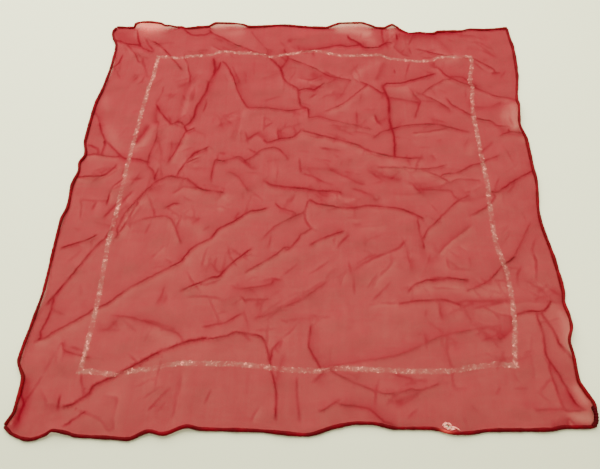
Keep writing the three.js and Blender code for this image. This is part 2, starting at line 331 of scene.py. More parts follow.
# Lifts a value between 0 and 1 so that it starts at least instead
def startingAt(tree, value, least):
    return timesPlus(tree, value, 1 - least, least)


# A step between two values, smooth at both ends
def smoothStep(tree, value, low, high):
    settings = {"interpolation_type": "SMOOTHSTEP"}
    return addNode(tree, "MapRange", settings, i0=value, i1=low, i2=high).outputs[0]


def vectorMaths(tree, operation, a, **others):
    return addNode(tree, "VectorMath", {"operation": operation}, i0=a, **others).outputs[0]


def mixColors(tree, share, a, b):
    node = addNode(tree, "Mix", {"data_type": "RGBA"})
    for name, value in (("Factor_Float", share), ("A_Color", a), ("B_Color", b)):
        feed(tree, next(s for s in node.inputs if s.identifier == name), value)
    return next(s for s in node.outputs if s.identifier == "Result_Color")


def noiseField(tree, vector, scale, detail, roughness=0.5):
    inputs = {"Vector": vector, "Scale": scale, "Detail": detail, "Roughness": roughness}
    return addNode(tree, "TexNoise", **inputs).outputs["Fac"]


# Patches of a noise, from where they start to where they are full
def patches(tree, vector, scale, detail, roughness, low, high):
    return smoothStep(tree, noiseField(tree, vector, scale, detail, roughness), low, high)


def objectPlace(tree):
    return addNode(tree, "TexCoord").outputs["Object"]


def uvPlace(tree, name):
    return addNode(tree, "UVMap", {"uv_map": name}).outputs[0]


def measured(tree, name):
    return addNode(tree, "Attribute", {"attribute_name": name}).outputs["Fac"]


def bumps(tree, height, strength, distance):
    inputs = {"Height": height, "Strength": strength, "Distance": distance}
    return addNode(tree, "Bump", **inputs).outputs[0]


def skinShader(tree, color, roughness, gloss, normal=None):
    inputs = {"Base Color": color, "Roughness": roughness, "Specular IOR Level": gloss}
    if normal is not None:
        inputs["Normal"] = normal
    return addNode(tree, "BsdfPrincipled", **inputs).outputs[0]


def endMaterial(tree, shader):
    addNode(tree, "OutputMaterial", Surface=shader)


room = {
    "floorColor": (0.82, 0.84, 0.50, 1),
    "floorShade": (0.79, 0.81, 0.47, 1),
    "floorGrain": (3.0, 4.0),            # scale and detail of its noise
    "floorRoughness": 0.65,
    "floorGloss": 0.5,
    "floorSize": 14.0,
    "floorNearShade": (-0.36, -0.20, 0.84),   # painted shade, darker towards the near side: from this y to that one, and how bright it is before them
    "worldColor": (1.0, 1.0, 1.0, 1),
    "worldStrength": 0.87,
    "lamp": {"place": (-0.32, 1.12, 1.52), "size": 2.3, "power": 132.0},
    "fill": {"place": (0.9, -0.9, 1.3), "size": 1.4, "power": 4.0},
}


def floorMaterial():
    made, tree = newMaterial("paleTable")
    place = objectPlace(tree)
    grain = noiseField(tree, place, *room["floorGrain"])
    shade = mixColors(tree, grain, room["floorShade"], room["floorColor"])
    # Painted shade: the table is painted darker towards the near side
    nearY, farY, dull = room["floorNearShade"]
    along = addNode(tree, "SeparateXYZ", i0=place).outputs[1]
    bright = startingAt(tree, smoothStep(tree, along, nearY, farY), dull)
    shade = vectorMaths(tree, "SCALE", shade, Scale=bright)
    endMaterial(tree, skinShader(tree, shade, room["floorRoughness"], room["floorGloss"]))
    return made


# A lamp that faces the middle of the table
def makeLamp(name, spec):
    data = bpy.data.lights.new(name, "AREA")
    data.shape = "SQUARE"
    data.size = spec["size"]
    data.energy = spec["power"]
    made = placeObject(name, data)
    made.location = spec["place"]
    made.rotation_euler = (-Vector(spec["place"])).to_track_quat("-Z", "Y").to_euler()


def makeRoom():
    half = room["floorSize"] / 2
    corners = [(-half, -half, 0), (half, -half, 0), (half, half, 0), (-half, half, 0)]
    data = bpy.data.meshes.new("table_top")
    data.from_pydata(corners, [], [(0, 1, 2, 3)])
    data.materials.append(floorMaterial())
    made = placeObject("table_top", data)
    world = bpy.data.worlds.new("softRoom")
    world.use_nodes = True
    shade = world.node_tree.nodes["Background"]
    shade.inputs["Color"].default_value = room["worldColor"]
    shade.inputs["Strength"].default_value = room["worldStrength"]
    bpy.context.scene.world = world
    makeLamp("windowLamp", room["lamp"])
    makeLamp("fillLamp", room["fill"])
    return made


floor = makeRoom()
stageDone("camera, table and light")

# The folds. half: half the width of cloth that a fold takes up, lean: how far it lies over
# sideways, rise: how high its crest carries the cloth, lip: how high its own layers stand,
# wide: half the width of the deeper line along its crest, packed threads and painted shade,
# reach: how fast the painted light and shade on its slopes evens out, step: between points
# along it, rows: where points are laid across it
foldKinds = {
    kind: dict(zip(("half", "lean", "rise", "lip", "wide", "reach", "step", "rows"), values))
    for kind, *values in (
        ("deep", 4.6, 0.9, 3.0, 1.0, 2.7, 7.7, 2.1, (0, 0.33, 0.66, 1.0)),
        ("sharp", 4.0, 0.7, 2.4, 0.8, 2.15, 7.0, 2.1, (0, 0.36, 0.7, 1.0)),
        ("fine", 3.2, 0.4, 1.7, 0.5, 1.8, 5.6, 2.2, (0, 0.5, 1.0)),
        ("soft", 2.8, 0.0, 1.2, 0.3, 1.9, 4.9, 2.6, (0, 1.0)),
        ("faint", 2.2, 0.0, 0.8, 0.2, 1.6, 4.5, 2.8, (0,)),
    )
}

# Each row: the fold's kind, how much deeper than plain cloth its crest, its left slope and its
# right slope are painted, in the units of creases, the x and y at which its crest starts, and the
# steps in x and y from each point of it to the next. The crest's depth stands for packed threads
# and painted shade, the slopes' for painted light and shade.
foldChart = [
    # far left
    ("deep", 6, 2, 2, -151, 258, 5, -25, 0, -13, -7, -21, -2, -18, -11, -30, -2, -20, -5, -12, -7, -7),
    ("sharp", 8, 0, -1, -285, 321, 5, -20, 6, -16, 5, -6, 16, -8, 2, 1),
    ("sharp", 6, 1, -2, -136, 247, 6, -5, 7, -13, 7, -16, 7, -20),
    ("sharp", 6, 1, 1, -166, 320, 12, -12, 14, -7, 9, -7, 21, -13),
    ("sharp", 6, 3, -1, -322, 301, 2, -3, 23, -9, 18, -3, 22, -15),
    ("sharp", 6, 1, -2, -258, 297, 14, -10, 24, -28, 23, -32),
    ("sharp", 5, 3, -2, -231, 159, 11, -18, 19, -24, 4, 1, 6, 3, 5, -1, 7, -9),
    ("fine", 6, -1, 1, -299, 267, -3, -22, -5, -9, -8, -11, -1, -26, -6, -22),
    ("fine", 5, 1, 4, -138, 246, -2, -13, -5, -12),
    ("fine", 5, -1, -3, -311, 297, 14, -10, 7, -7, 10, -14, 9, -18, 6, 1),
    ("fine", 4, 2, 1, -210, 325, 13, -13, 9, -4, 17, 0, 7, 3, 5, 2),
    ("fine", 4, 1, -3, -197, 268, -2, -10, 7, -14, 8, -29, 1, -13),
    ("fine", 2, 4, 1, -322, 160, 1, -18, 7, -11, 9, -21),
    ("soft", 4, 1, -2, -269, 303, 8, -16, 9, -12, 2, -4),
    ("soft", 4, -2, -1, -256, 216, -3, -13, -7, -5, -3, -4),
    ("soft", 3, 1, -4, -159, 286, 26, -18, 23, 4, 5, -1, 6, 3),
    ("soft", 3, 1, 0, -266, 258, 2, -14, 5, -9),
    ("soft", 3, -2, 3, -266, 218, -2, -5, -3, -5, -3, -4),
    ("soft", 2, 0, 0, -280, 274, 3, -6, 11, -12, 8, -23, 6, -17, 0, -2, 4, 1, 5, 7, 1, 7),
    ("soft", 0, 1, 4, -182, 202, 0, -4, -5, -27, -2, -45, 0, -5),
    ("soft", 0, 3, 3, -208, 180, -2, -5, -2, -5),
    ("soft", 0, -1, 3, -138, 108, 10, 8, 26, 11, 4, 0),
    ("soft", 0, 4, 3, -202, 188, 13, 11, 9, 5, 11, 19),
    ("soft", 0, 3, 7, -226, 153, 1, -20, 3, -15),
    # far middle
    ("deep", 6, 0, -2, -121, 287, 26, -14, 19, -10, 9, -1, 18, -22, 8, -13, 7, -24, 18, -14, 2, -4, 4, -27,
        4, -9, 9, -4, 0, -18),
    ("sharp", 11, -1, -1, 63, 306, 3, -9, 15, -11, 5, -8, 7, -4, 19, 2, 12, 9, 10, 0),
    ("sharp", 6, -2, -1, -32, 254, 42, -23, 23, -18, 14, -4, 22, -6),
    ("sharp", 6, -4, 0, 93, 194, -12, -12, -26, -27, -29, -16),
    ("sharp", 6, 0, 0, 81, 201, 19, -12, 13, -12, 4, 0, 1, 1),
    ("sharp", 5, 6, -2, -14, 265, 37, 9, 24, 6, 6, 0, 12, -3, 17, 4),
    ("sharp", 5, 3, 2, 82, 287, 10, -11, 20, -1, 16, 11),
    ("sharp", 4, 4, -1, -118, 219, 12, -36, 13, -27, 4, -6, 7, -2, 23, 0, 32, -6, 27, 4),
    ("sharp", 3, 3, 5, -39, 278, 3, -10, 5, -15, -8, -19, -2, -6, -1, 2),
    ("sharp", 3, 4, 0, 3, 146, 0, -15, 3, -3, 14, 2, 21, -8, 46, -12, 8, -5),
    ("sharp", 2, 1, 0, -98, 321, 15, -24, 16, -22, 3, -9, 1, -8, -2, -2),
    ("fine", 7, -2, 2, 29, 201, -16, -16, -5, 0, -12, 1, -7, -3, -3, 0),
    ("fine", 4, -3, 0, 45, 121, 27, -8, 24, -8),
    ("fine", 4, -2, -3, 70, 208, 6, -5, 3, -3),
    ("fine", 1, 0, 2, 81, 240, -11, -17, 0, -15, -7, -12, -10, -24, -13, -12),
    ("fine", 0, 3, -2, -31, 280, 11, -8, 16, -1),
    ("soft", 5, 3, -4, 101, 137, 3, -14, 9, -12),
    ("soft", 4, 2, -5, -17, 211, 10, -3, 10, -3, 7, 1, 10, 6),
    ("soft", 3, -3, 2, 16, 177, -7, -6, -6, -4),
    ("soft", 3, 0, 3, 25, 227, 11, -11, 16, -8),
    ("soft", 2, -2, 1, -73, 207, 12, 6, 12, 5),
    ("soft", 1, -2, 2, -96, 149, -2, -22, -2, -22, 0, -3),
    ("soft", 1, 5, 3, -34, 295, 4, -3, 3, -3),
    # far right
    ("deep", 6, 2, 2, 114, 196, 9, -34, 0, -40, 5, -30, -1, -37),
    ("sharp", 9, -1, 3, 200, 217, -54, -20, -7, -1, -17, 0, -5, -6),
    ("sharp", 8, -2, -2, 170, 271, 15, -4, 13, -6, 28, -8, 2, 3, -2, 2),
    ("sharp", 6, 0, 0, 208, 169, 8, -16, 23, -19, 13, -9, 19, -6, 6, -8, 15, -2, 1, -2, -1, -7),
    ("sharp", 6, 0, -2, 241, 251, 17, -3, 29, -24, -2, -8),
    ("sharp", 5, 2, -3, 196, 229, 6, 0, 10, -15, 14, -12, 20, -11, 6, -4, 29, -18, 20, -5, 11, -7, 1, -5,
        -1, -17),
    ("sharp", 5, -2, 1, 221, 204, -12, -1, -4, -3, -20, -14, -10, -12, 4, -3, 18, -13, 15, -14),
    ("sharp", 0, 1, 2, 145, 321, 2, -2, 12, -12, 5, -2, 16, 0, 15, -1, 9, 2, 7, 4, 5, 0, 9, -2, 1, -3),
    ("fine", 3, 4, 2, 219, 209, 18, -1, 13, -13, 4, -3, 2, -2, -3, -2),
    ("fine", 3, 1, 3, 155, 190, 8, -19, 7, -10, -2, -9, -9, -29),
    ("fine", 2, 4, -2, 123, 286, 13, 0, 3, -1, -2, -10, 2, -4, 11, -13, 12, -5),
    ("fine", 1, -1, -2, 139, 321, -1, -8, 4, -12, 0, -15, -1, -6, -3, -2),
    ("fine", 1, 2, 4, 250, 167, -5, -6, -1, -8, 4, -5, 24, 0, 22, 13),
    ("soft", 5, 2, 5, 142, 306, 1, -7, 0, -7),
    ("soft", 3, -2, -2, 201, 307, 1, -3, 33, 0, 8, -3, 23, -3, 15, -9),
    ("soft", 3, -1, 4, 282, 217, 8, 0, 8, 0),
    ("soft", 3, 0, 2, 108, 323, 10, -3, 2, -2, -1, -7, 1, -13, 1, -12),
    ("soft", 3, 0, 2, 121, 170, 4, -2, 1, -1, 37, -9, 7, -3),
    ("soft", 3, 1, -1, 272, 267, 13, -9, 10, -8, 1, -1),
    ("soft", 3, 0, -2, 255, 283, 10, 2, 7, -1, 20, -19),
    ("soft", 3, -5, -5, 299, 142, -2, -20, 3, -13, -6, -3, -3, 2),
    ("soft", 2, 0, 4, 198, 242, -1, -2, 0, -4, -1, -5),
    ("soft", 1, 2, 2, 130, 312, -2, -12, 1, -12),
    ("soft", 1, 2, 3, 198, 155, 11, -8, 5, -13),
    ("soft", 0, 2, 2, 162, 305, 2, -3, 22, 1, 12, -2, 19, -22, 9, -21, -1, -3),
    ("soft", 0, 5, 1, 119, 246, -8, -25, -7, -21),
    # left
    ("deep", 6, 2, -1, -249, -81, 3, 5, -2, 10, 2, 7, 5, 19, 22, 36, 14, 17, 11, 6, 9, 2, 22, -6, 21, -16,
        32, -6),
    ("sharp", 8, 2, -1, -320, -98, 33, 14, 14, 9, 1, 2),
    ("sharp", 8, 1, -4, -323, 39, 3, -17, 1, -3, 30, 2, 9, 4, 10, 12, 1, 8),
    ("sharp", 8, -3, 0, -180, 114, 5, -11, 11, 7),
    ("sharp", 7, -1, 0, -253, -55, 0, -5, -9, -21, -13, -18, -32, -62, -11, -20),
    ("sharp", 7, -3, -1, -135, 76, -25, -16, -14, -24, -6, -17),
    ("sharp", 6, 3, 0, -206, 39, -3, -12, -1, -12),
    ("sharp", 6, -4, 2, -174, 102, -3, -3, -9, -31, -9, -23, 1, -2),
    ("sharp", 5, 2, 2, -309, 120, 8, -21, 9, -14, 29, -30, 7, -3, 17, -1, 18, -6),
    ("sharp", 5, 2, 0, -129, 8, -1, 15, 2, 24, 3, 3, 15, -5),
    ("sharp", 4, 2, -2, -220, -51, 27, 5, 7, 0, 7, -3, 3, -3, 6, -11, 12, -27),
    ("sharp", 3, 1, 2, -223, 120, 1, 2, 2, -2, 1, -22, 0, -13, -5, -27, 0, -10),
    ("fine", 7, -4, -3, -249, -88, -1, 5, 3, 10, 5, 5, 12, 36, 3, 7, -2, 4),
    ("fine", 6, -1, -3, -145, 57, -14, -7, -11, -7),
    ("fine", 6, -4, 1, -256, 36, -1, -10, 3, -5, -2, -7, -8, -8, -4, -7, -2, -29),
    ("fine", 5, 4, -2, -191, -35, 13, 9, 4, 1, 8, -1),
    ("fine", 5, 2, -4, -322, 51, 4, 6, 2, 1, 15, 2, 17, -4, 18, -1),
    ("fine", 4, 0, 2, -222, 63, -2, -15, 1, -8, 10, -11, 2, -14),
    ("fine", 2, 1, 2, -195, 88, 2, -20, -2, -20),
    ("fine", 2, 4, 5, -166, 51, 7, 14, 19, 4),
    ("fine", 1, 0, 4, -230, 119, -10, -23, -10, -20),
    ("soft", 7, -2, -3, -293, 86, -2, -3, 2, -7, -1, -8, 0, -9),
    ("soft", 5, -2, 4, -254, -22, -10, -17, -8, -12),
    ("soft", 4, -3, 2, -236, -2, -9, -14, -5, -12),
    ("soft", 3, 2, -3, -184, -9, 5, 2, 9, 8, 5, 2, 15, -3, 10, -1),
    ("soft", 3, -1, -3, -196, -111, 8, 10, 8, 10),
    ("soft", 3, 2, 2, -322, 76, 6, 1, 12, -5, 3, -3, 1, -5, 2, -3),
    ("soft", 3, 5, 0, -247, 16, 10, -1, 9, 3, 3, -2),
    ("soft", 3, 1, -2, -290, -39, 3, 10, 4, 10),
    ("soft", 3, -1, -1, -215, -12, 7, -13, 6, -14, 1, -5, 3, -3),
    ("soft", 2, 3, 1, -149, -59, 7, 7, 6, 5),
    ("soft", 2, -1, -4, -118, -31, 7, 1, 7, -3),
    ("soft", 1, 2, 2, -220, 107, 4, -19, 3, -7, 9, -29),
    ("soft", 1, 1, 0, -166, 107, 3, -3, 14, -6, 1, -1, 2, -11),
    # middle
    ("deep", 6, 2, -3, -5, 104, 6, -3, 69, -23, 18, -11, 14, -6, 32, -8, 25, -1, 10, 1),
    ("deep", 6, 4, -1, -58, 16, 7, -7, 9, -4, 18, -3, 25, -2, 17, -4, 25, -1, 9, -3),
    ("sharp", 7, 3, -3, -156, -116, 6, 11, 9, 12, 21, 13, 7, 13, 19, 12, 22, 17, 14, 2, 12, 5),
    ("sharp", 6, 2, -2, 7, -18, 12, -7, 30, -6, 20, -1, 19, 4, 28, -3, 17, -3, 24, -13, 2, -3),
    ("sharp", 6, 2, -2, 8, -91, 20, 12, 29, 12),
    ("sharp", 5, 4, -2, -62, 87, 6, -5, 4, -1, 15, 7, 19, 3, 17, 18),
    ("sharp", 4, 3, 0, -120, 48, 10, 1, 14, 6, 5, -1, 5, -5, 2, 0, 12, 8, 10, 11, 16, 4, 8, -2, 3, -3,
        9, -12, 3, -7),
    ("sharp", 2, 4, 0, -111, 24, 6, 4, 5, -2, 9, -8, 16, -26),
    ("fine", 5, 2, -1, -24, -94, 1, -2, 5, -1, 13, 16, 3, 7, 11, 7, 2, 1, 2, 3),
    ("fine", 4, 2, 1, -36, -20, -2, -4, 7, -8, 19, -7, 2, -4, -1, -2),
    ("fine", 4, 2, -3, -41, 111, 0, -11, 2, -10, -1, -3),
    ("fine", 4, 0, 0, 8, -19, -3, -5, -2, -10, -4, -6, -13, -7, -21, -13, -8, -8, -12, -16),
    ("fine", 3, -1, 3, 19, -5, 7, -6, 10, -2),
    ("fine", 1, 5, 0, 34, 33, 41, -24, 12, -3),
    ("soft", 4, -2, -1, 4, -31, -2, -10, 3, -14, 7, -9, 11, -6),
    ("soft", 3, 2, -1, 65, -129, 11, 11, 19, 11, 28, 13, 13, 15),
    ("soft", 3, 1, 1, 19, 72, 17, -3, 15, -4, 1, -2),
    ("soft", 3, 1, 2, 44, -95, 9, 12, 10, 12),
    ("soft", 3, 0, 0, -8, 55, 2, -18, 2, -15),
    ("soft", 2, -1, 0, 21, 50, 11, -2, 7, -2),
    ("soft", 2, 0, 1, -26, 119, -6, -7, -4, -9, -2, -1, -3, 0),
    ("soft", 2, 3, 1, 62, 1, 16, -5, 15, -8, 5, -7, 6, 3),
    ("soft", 2, -2, -4, 94, -10, 6, -1, 6, -9, 5, -6, 1, -5),
    ("soft", 1, 5, 1, -87, 49, 2, -4, 10, -9, 12, -3),
    ("soft", 1, -2, -4, -110, -9, 6, -7, 8, -6),
    ("soft", 1, -1, -2, 70, -62, 2, 0, 31, 3, 7, 5),
    ("soft", 0, -1, 3, -99, 105, -1, -3, -2, -10, -2, -10),
    ("soft", 0, 2, 3, -6, 35, 6, 1, 20, -1, 17, 0),
    ("soft", 0, 4, 0, 84, 31, 14, -4, 11, -5),
    ("soft", 0, 3, -2, 50, -7, 2, -6, 13, -2, 10, 0),
    ("soft", 0, 6, -1, -85, 83, 10, 11, 5, 2, 10, -8),
    # right
    ("sharp", 6, 0, 4, 316, 49, 0, -15, -2, -5, -2, -1, -28, -17, -22, -17, -9, 1),
    ("sharp", 5, 2, 0, 96, 87, 11, 10, 6, 4, 28, 10, 27, 3, 23, 0, 42, -14, 5, 1),
    ("sharp", 5, -1, -3, 100, 37, 60, -4, 31, -16, 11, -10),
    ("sharp", 5, -2, 1, 227, -10, -15, -7, -10, -8, -35, -38, -5, -5, -5, -12),
    ("sharp", 5, -3, -1, 316, 76, -4, 15, -3, 4, -16, 4, -18, -8),
    ("sharp", 5, -1, 2, 251, 46, -5, -3, -14, -4, -20, -12, -19, -3, -5, -5),
    ("sharp", 5, 0, 1, 275, 58, -13, -6, -11, -5, -4, -4),
    ("sharp", 5, 0, 0, 137, 37, 18, -3, 21, 0, 24, 7),
    ("sharp", 4, -2, 2, 255, -7, 2, -8, -16, -17, -22, -13),
    ("sharp", 2, 5, -1, 147, 8, 6, -8, 6, -8),
    ("fine", 4, 2, -3, 152, 97, 29, 4, 24, 5),
    ("fine", 3, 0, 2, 152, -44, 0, -4, 1, -20, 4, -20, 0, -6),
    ("fine", 3, 1, 0, 160, -2, 15, 0, 22, -1, 3, -2, 3, -7, 7, -8),
    ("fine", 3, -1, 1, 185, 4, 5, 2, 10, 5, 13, 5, 27, -2, 0, -2, -2, -3),
    ("fine", 2, -3, 4, 223, -57, -37, -31, -11, -14),
    ("fine", 2, 2, 2, 299, -51, -23, -42, -12, -19),
    ("fine", 2, 3, 0, 154, -2, 3, 0, 15, 3, 12, 1, 1, -3),
    ("fine", 1, -1, 0, 158, -46, 2, -7, 2, -6, 5, -1),
    ("soft", 2, 0, 2, 268, 85, -5, -9, -6, -5, -4, -3, -5, -9, 3, -11),
    ("soft", 2, -3, 1, 200, -90, 6, -5, 4, -4),
    ("soft", 2, 0, 0, 301, -75, -8, -19, 1, -7, 0, -4),
    ("soft", 1, 2, -1, 210, -20, 5, -1, 14, 4, 16, 4, 2, 1, 1, 7),
    ("soft", 1, 2, -1, 118, -9, 22, -1, 20, 1),
    ("soft", 1, -1, 4, 177, 60, 4, -6, 5, -5),
    ("soft", 0, 1, 3, 157, -88, 0, -6, 1, -10, 4, -4, 5, -2, 7, 6),
    ("soft", 0, 4, 5, 100, 26, -1, -1, 1, -2, 20, -5, 17, -4),
    ("soft", 0, 0, 2, 313, 1, 0, -10, -3, -12, -2, -17, 1, -8, 3, -22),
    # near left
    ("deep", 9, 0, -2, -268, -304, 7, 1, 9, 5, 12, 10, 4, 9, 24, 13, 9, 6, 36, 22, 35, 15, 22, 4),
    ("sharp", 6, 2, -3, -322, -228, 14, 6, 12, 10, 33, 22, 7, 7, 16, 8, 26, 23, 59, 37, 3, 7),
    ("fine", 7, 0, 0, -263, -327, 12, 9, 12, 9),
    ("fine", 7, 0, 0, -325, -266, 5, -22, 7, -13, -1, -11, 2, -13),
    ("fine", 5, 1, -1, -287, -229, 1, 1, 2, -1, 2, -7, 9, -4, 26, -6, 1, 3),
    ("fine", 5, 2, 2, -309, -163, -1, -30, -5, -20, 2, -8, -2, -2, 1, -2),
    ("fine", 5, 0, 2, -273, -289, 0, -11, 2, -10),
    ("fine", 3, 1, 0, -234, -191, 25, -2, 26, -7, 30, -11, 7, -3, 5, -6, 2, -6),
    ("fine", 3, 1, 2, -282, -235, 17, -7),
    ("fine", 2, 2, 2, -205, -196, 20, -1, 35, -11),
    ("soft", 2, 0, -1, -109, -108, -2, -7, 0, -7),
    ("soft", 2, -3, 0, -224, -291, 15, -1, 2, -1, 1, -5, 0, -16, 2, -15),
    ("soft", 2, 0, -1, -144, -165, 23, 1, 25, -3),
    ("soft", 2, 0, -2, -250, -307, 26, -9, 8, -6, 6, -7, 4, 0),
    ("soft", 1, -2, 1, -136, -258, 0, -25, -2, -9, -1, -18, -6, -9),
    ("soft", 1, 0, 3, -168, -160, 0, -8, -2, -7),
    ("soft", 1, -1, 1, -224, -197, -5, -9, -2, -8),
    ("soft", 1, 3, 1, -248, -211, 15, 2, 10, 12),
    ("soft", 1, 0, 1, -301, -281, 8, -10, 7, -10),
    ("soft", 1, -1, 2, -288, -302, 10, 0, 10, -2),
    ("soft", 1, 1, 0, -159, -309, 6, 8, 4, 6),
    ("soft", 1, 0, 1, -287, -229, -7, -19, -5, -18, -1, -1),
    # near middle
    ("sharp", 8, 1, -3, -153, -158, 38, 19, 11, 3, 14, 18, 27, 25),
    ("sharp", 6, 0, 0, -110, -220, 22, 4, 12, 5, 27, -4, 6, -4, 6, -14, 12, -48, 1, -15, 1, -20),
    ("sharp", 5, 2, -3, -73, -130, 2, 0, 37, 25, 10, 11, 8, 0),
    ("sharp", 5, 1, -2, 22, -303, 7, 0, 21, 14),
    ("sharp", 4, 3, 0, 14, -197, -2, -32, 16, -28, 0, -2, -12, -13),
    ("sharp", 4, 1, -1, 36, -252, 1, -3, 4, -4, 24, -12, 30, -11, 15, 0, 20, 5, 10, -1, 24, 9),
    ("sharp", 3, 2, 2, -89, -148, 12, -5, 25, 3, 15, 4, 2, 6),
    ("sharp", 3, 2, 0, -55, -196, 2, 4, 16, 4, 15, 9, 18, 9, 6, 4),
    ("sharp", 3, 1, 0, -4, -171, 6, 4, 18, 14, 15, 13),
    ("sharp", 3, 0, 1, -1, -263, 0, -18, 5, -37),
    ("fine", 6, 1, 1, -20, -218, -11, -14, -1, -10, -2, -15),
    ("fine", 4, 2, 0, -120, -205, 29, 6, 19, 12, 4, -3),
    ("fine", 4, 1, -2, -76, -163, 6, -5, 3, -4),
    ("fine", 3, 4, 1, 47, -293, 1, -3, 28, -3, 9, -5, 9, -8, 3, -3, 15, -4),
    ("fine", 2, 3, 2, -120, -116, 7, -4, 6, -9, 2, -1, 5, 3, 2, -1),
    ("fine", 2, -1, 0, -45, -190, 40, 25, 35, 25),
    ("soft", 4, 0, 1, -68, -168, 17, 0, 15, 1),
    ("soft", 3, -2, -1, -38, -200, -1, -11, 1, -11, -3, -2),
    ("soft", 3, -1, 1, -51, -143, 15, 4, 14, -2),
    ("soft", 2, -1, -3, 88, -154, 6, 14, 15, 18, 12, 15),
    ("soft", 2, -4, 0, -43, -298, 0, -3, -5, -8, -3, -10, 0, -2),
    ("soft", 2, -1, -3, 82, -174, 20, 3, 18, 0),
    ("soft", 1, 0, 1, 31, -139, 7, 11, 11, 6),
    # near right
    ("deep", 2, 5, 0, 233, -212, 4, -4, 16, 13, 1, 17),
    ("sharp", 7, 2, -2, 258, -186, 9, 4, 7, 2, 17, 0, 4, 2, 9, 12),
    ("sharp", 6, 0, -1, 131, -157, 10, 11, 14, 6, 20, 2, 10, 2, 25, -3),
    ("sharp", 6, -1, -1, 289, -180, 1, -3, 11, -26, 2, -12, 13, -20, 5, -7, 0, -15),
    ("sharp", 5, 1, 0, 284, -180, 0, -6, 3, -22, -1, -27, 10, -22, 6, -19, 6, -15, 6, -7),
    ("sharp", 5, 2, -1, 120, -172, 20, 4, 33, 2, 7, -1, 19, -8),
    ("sharp", 5, 2, 0, 204, -154, 28, 14, 20, 21, 18, 14),
    ("sharp", 3, 0, -1, 205, -152, 15, 4, 15, 9, 15, 18),
    ("sharp", 2, 3, 0, 29, -256, 19, 6, 68, 13, 50, 23, 22, 6, 22, 4),
    ("fine", 3, 2, -1, 287, -237, 0, -17, 7, -41, 6, -4, 22, 1),
    ("fine", 3, -1, -1, 222, -174, 14, -9, 20, -4),
    ("fine", 3, 2, 2, 160, -137, 25, 2, 23, -6),
    ("fine", 2, -1, 1, 262, -298, 28, 1, 22, -2),
    ("fine", 2, 3, 1, 213, -219, 12, 5, 14, 4, 3, -2),
    ("soft", 4, -1, -2, 293, -101, 1, -4, 1, -8, -4, -24),
    ("soft", 3, 1, -2, 207, -178, 20, 5, 23, 6, 0, 1, 0, 1),
    ("soft", 2, 0, 1, 176, -209, -3, -25, 4, -19, -1, -13, 3, -14),
    ("soft", 2, 3, 0, 167, -166, 2, -5, 1, -13, 1, -10),
    ("soft", 2, -1, -2, 184, -105, 2, -15, 4, -4, 4, 1, 22, -2),
    ("soft", 2, 0, -1, 224, -176, 10, -7, 6, -9),
    ("soft", 2, 2, 2, 190, -171, 11, 4, 27, 0, 25, 2, 2, -2),
    ("soft", 2, 1, 1, 278, -117, -5, -6, -3, -5, -1, -2, -1, -8, 0, -12),
    ("soft", 2, 6, 0, 274, -320, 18, 3, 3, 3, 2, 6, 6, -5, 9, -3, 10, 0),
    ("soft", 1, -1, -1, 94, -277, 36, -6),
    ("soft", 1, 2, 3, 109, -292, 14, 5, 14, 5),
    ("soft", 1, -1, -1, 183, -306, 2, -7, 2, -7),
    ("soft", 1, -1, 1, 269, -235, 0, -16, -2, -15),
    ("soft", 1, 2, -2, 250, -165, 0, -2, 3, -3, 22, 4, 20, -2, 15, -1, 7, 1, 7, -8),
    ("soft", 1, 2, 1, 175, -217, 6, 1, 2, -9, -1, -8),
    ("soft", 1, 3, 3, 306, -149, 1, -3, 10, -7, 3, -4, -3, -7, 6, -4),
    ("soft", 1, 2, 1, 110, -293, 4, 1, 4, 3),
    ("soft", 1, 0, -1, 224, -197, 10, -8, 8, -2, 7, 1, 7, 9),
    ("soft", 1, 0, -2, 283, -152, 7, 11, 1, 2, 4, -2, 9, -8, 1, -3),
    ("soft", 1, 3, 0, 142, -105, -3, -12, -1, -12),
    ("soft", 0, 2, -1, 248, -296, 22, -2, 22, 0, 2, 2),
]

# Soft places painted deeper and closer covered (above 0) or paler and more open (below 0) than
# elsewhere: painted shade and painted light. Each row: the tone, half the width, and the line
# along the middle of the place, in steps too
toneChart = [
    (-0.3, 9, -152, 316, 24, -5, 16, 3), (-0.25, 9, -282, 314, 20, -3, 16, -1),
    (-0.2, 6, -172, 220, -6, -40, -7, -40, -3, -14), (-0.15, 6, -308, 170, 2, -20),
    (0.2, 11, -318, 312, 18, -10, 16, -12), (-0.65, 9, 52, 317, 24, -3, 20, -6),
    (-0.25, 8, 86, 296, 19, -6), (-0.2, 8, 75, 213, 15, 15, 20, 12), (-0.1, 11, -120, 300, 22, -12),
    (0.1, 7, 50, 327, 25, 1, 23, -3), (0.1, 14, -100, 222, 35, 16, 13, -23), (0.4, 6, 10, 217, 10, -4),
    (-0.35, 5, 304, 150, 0, -20, -1, -23), (-0.3, 4, 131, 322, 0, -34), (-0.3, 3, 139, 318, 0, -18),
    (-0.25, 8, 128, 188, 22, -3, 6, -8), (-0.2, 9, 208, 238, 20, 12), (-0.2, 7, 296, 150, -6, -20),
    (-0.1, 8, 200, 275, 10, -13, 15, -6), (0.15, 7, 150, 302, 30, -2, 50, 2, 52, -4),
    (-0.25, 8, -225, 110, -9, -22, -10, -16), (-0.2, 10, -298, 115, 14, -25, 12, -20),
    (-0.15, 10, -165, -52, 23, -8, 12, -24), (-0.1, 9, -213, 110, 8, -24, 4, -20),
    (0.35, 5, -236, 112, -10, -26), (-0.15, 6, 236, 76, -4, -16), (-0.1, 7, 165, -96, 5, -20),
    (0.45, 6, 285, 101, 21, -3), (-0.95, 3.2, -322, -299, 2, -13, -2, -11),
    (-0.15, 9, -176, -212, 14, -4, 10, -10), (0.5, 6, -319, -276, 6, -16, 0, -15, -4, -18),
    (0.5, 3, -318, -308, 1, -16), (-0.6, 8, 304, -305, 15, -1), (-0.5, 7, 313, -276, 4, -11),
    (-0.3, 5, 312, -183, 2, -17, -2, -26), (-0.15, 8, 140, -152, 30, 2, 30, -1, 28, -5, 24, 4),
    (0.3, 6, 303, -279, 4, -13),
]

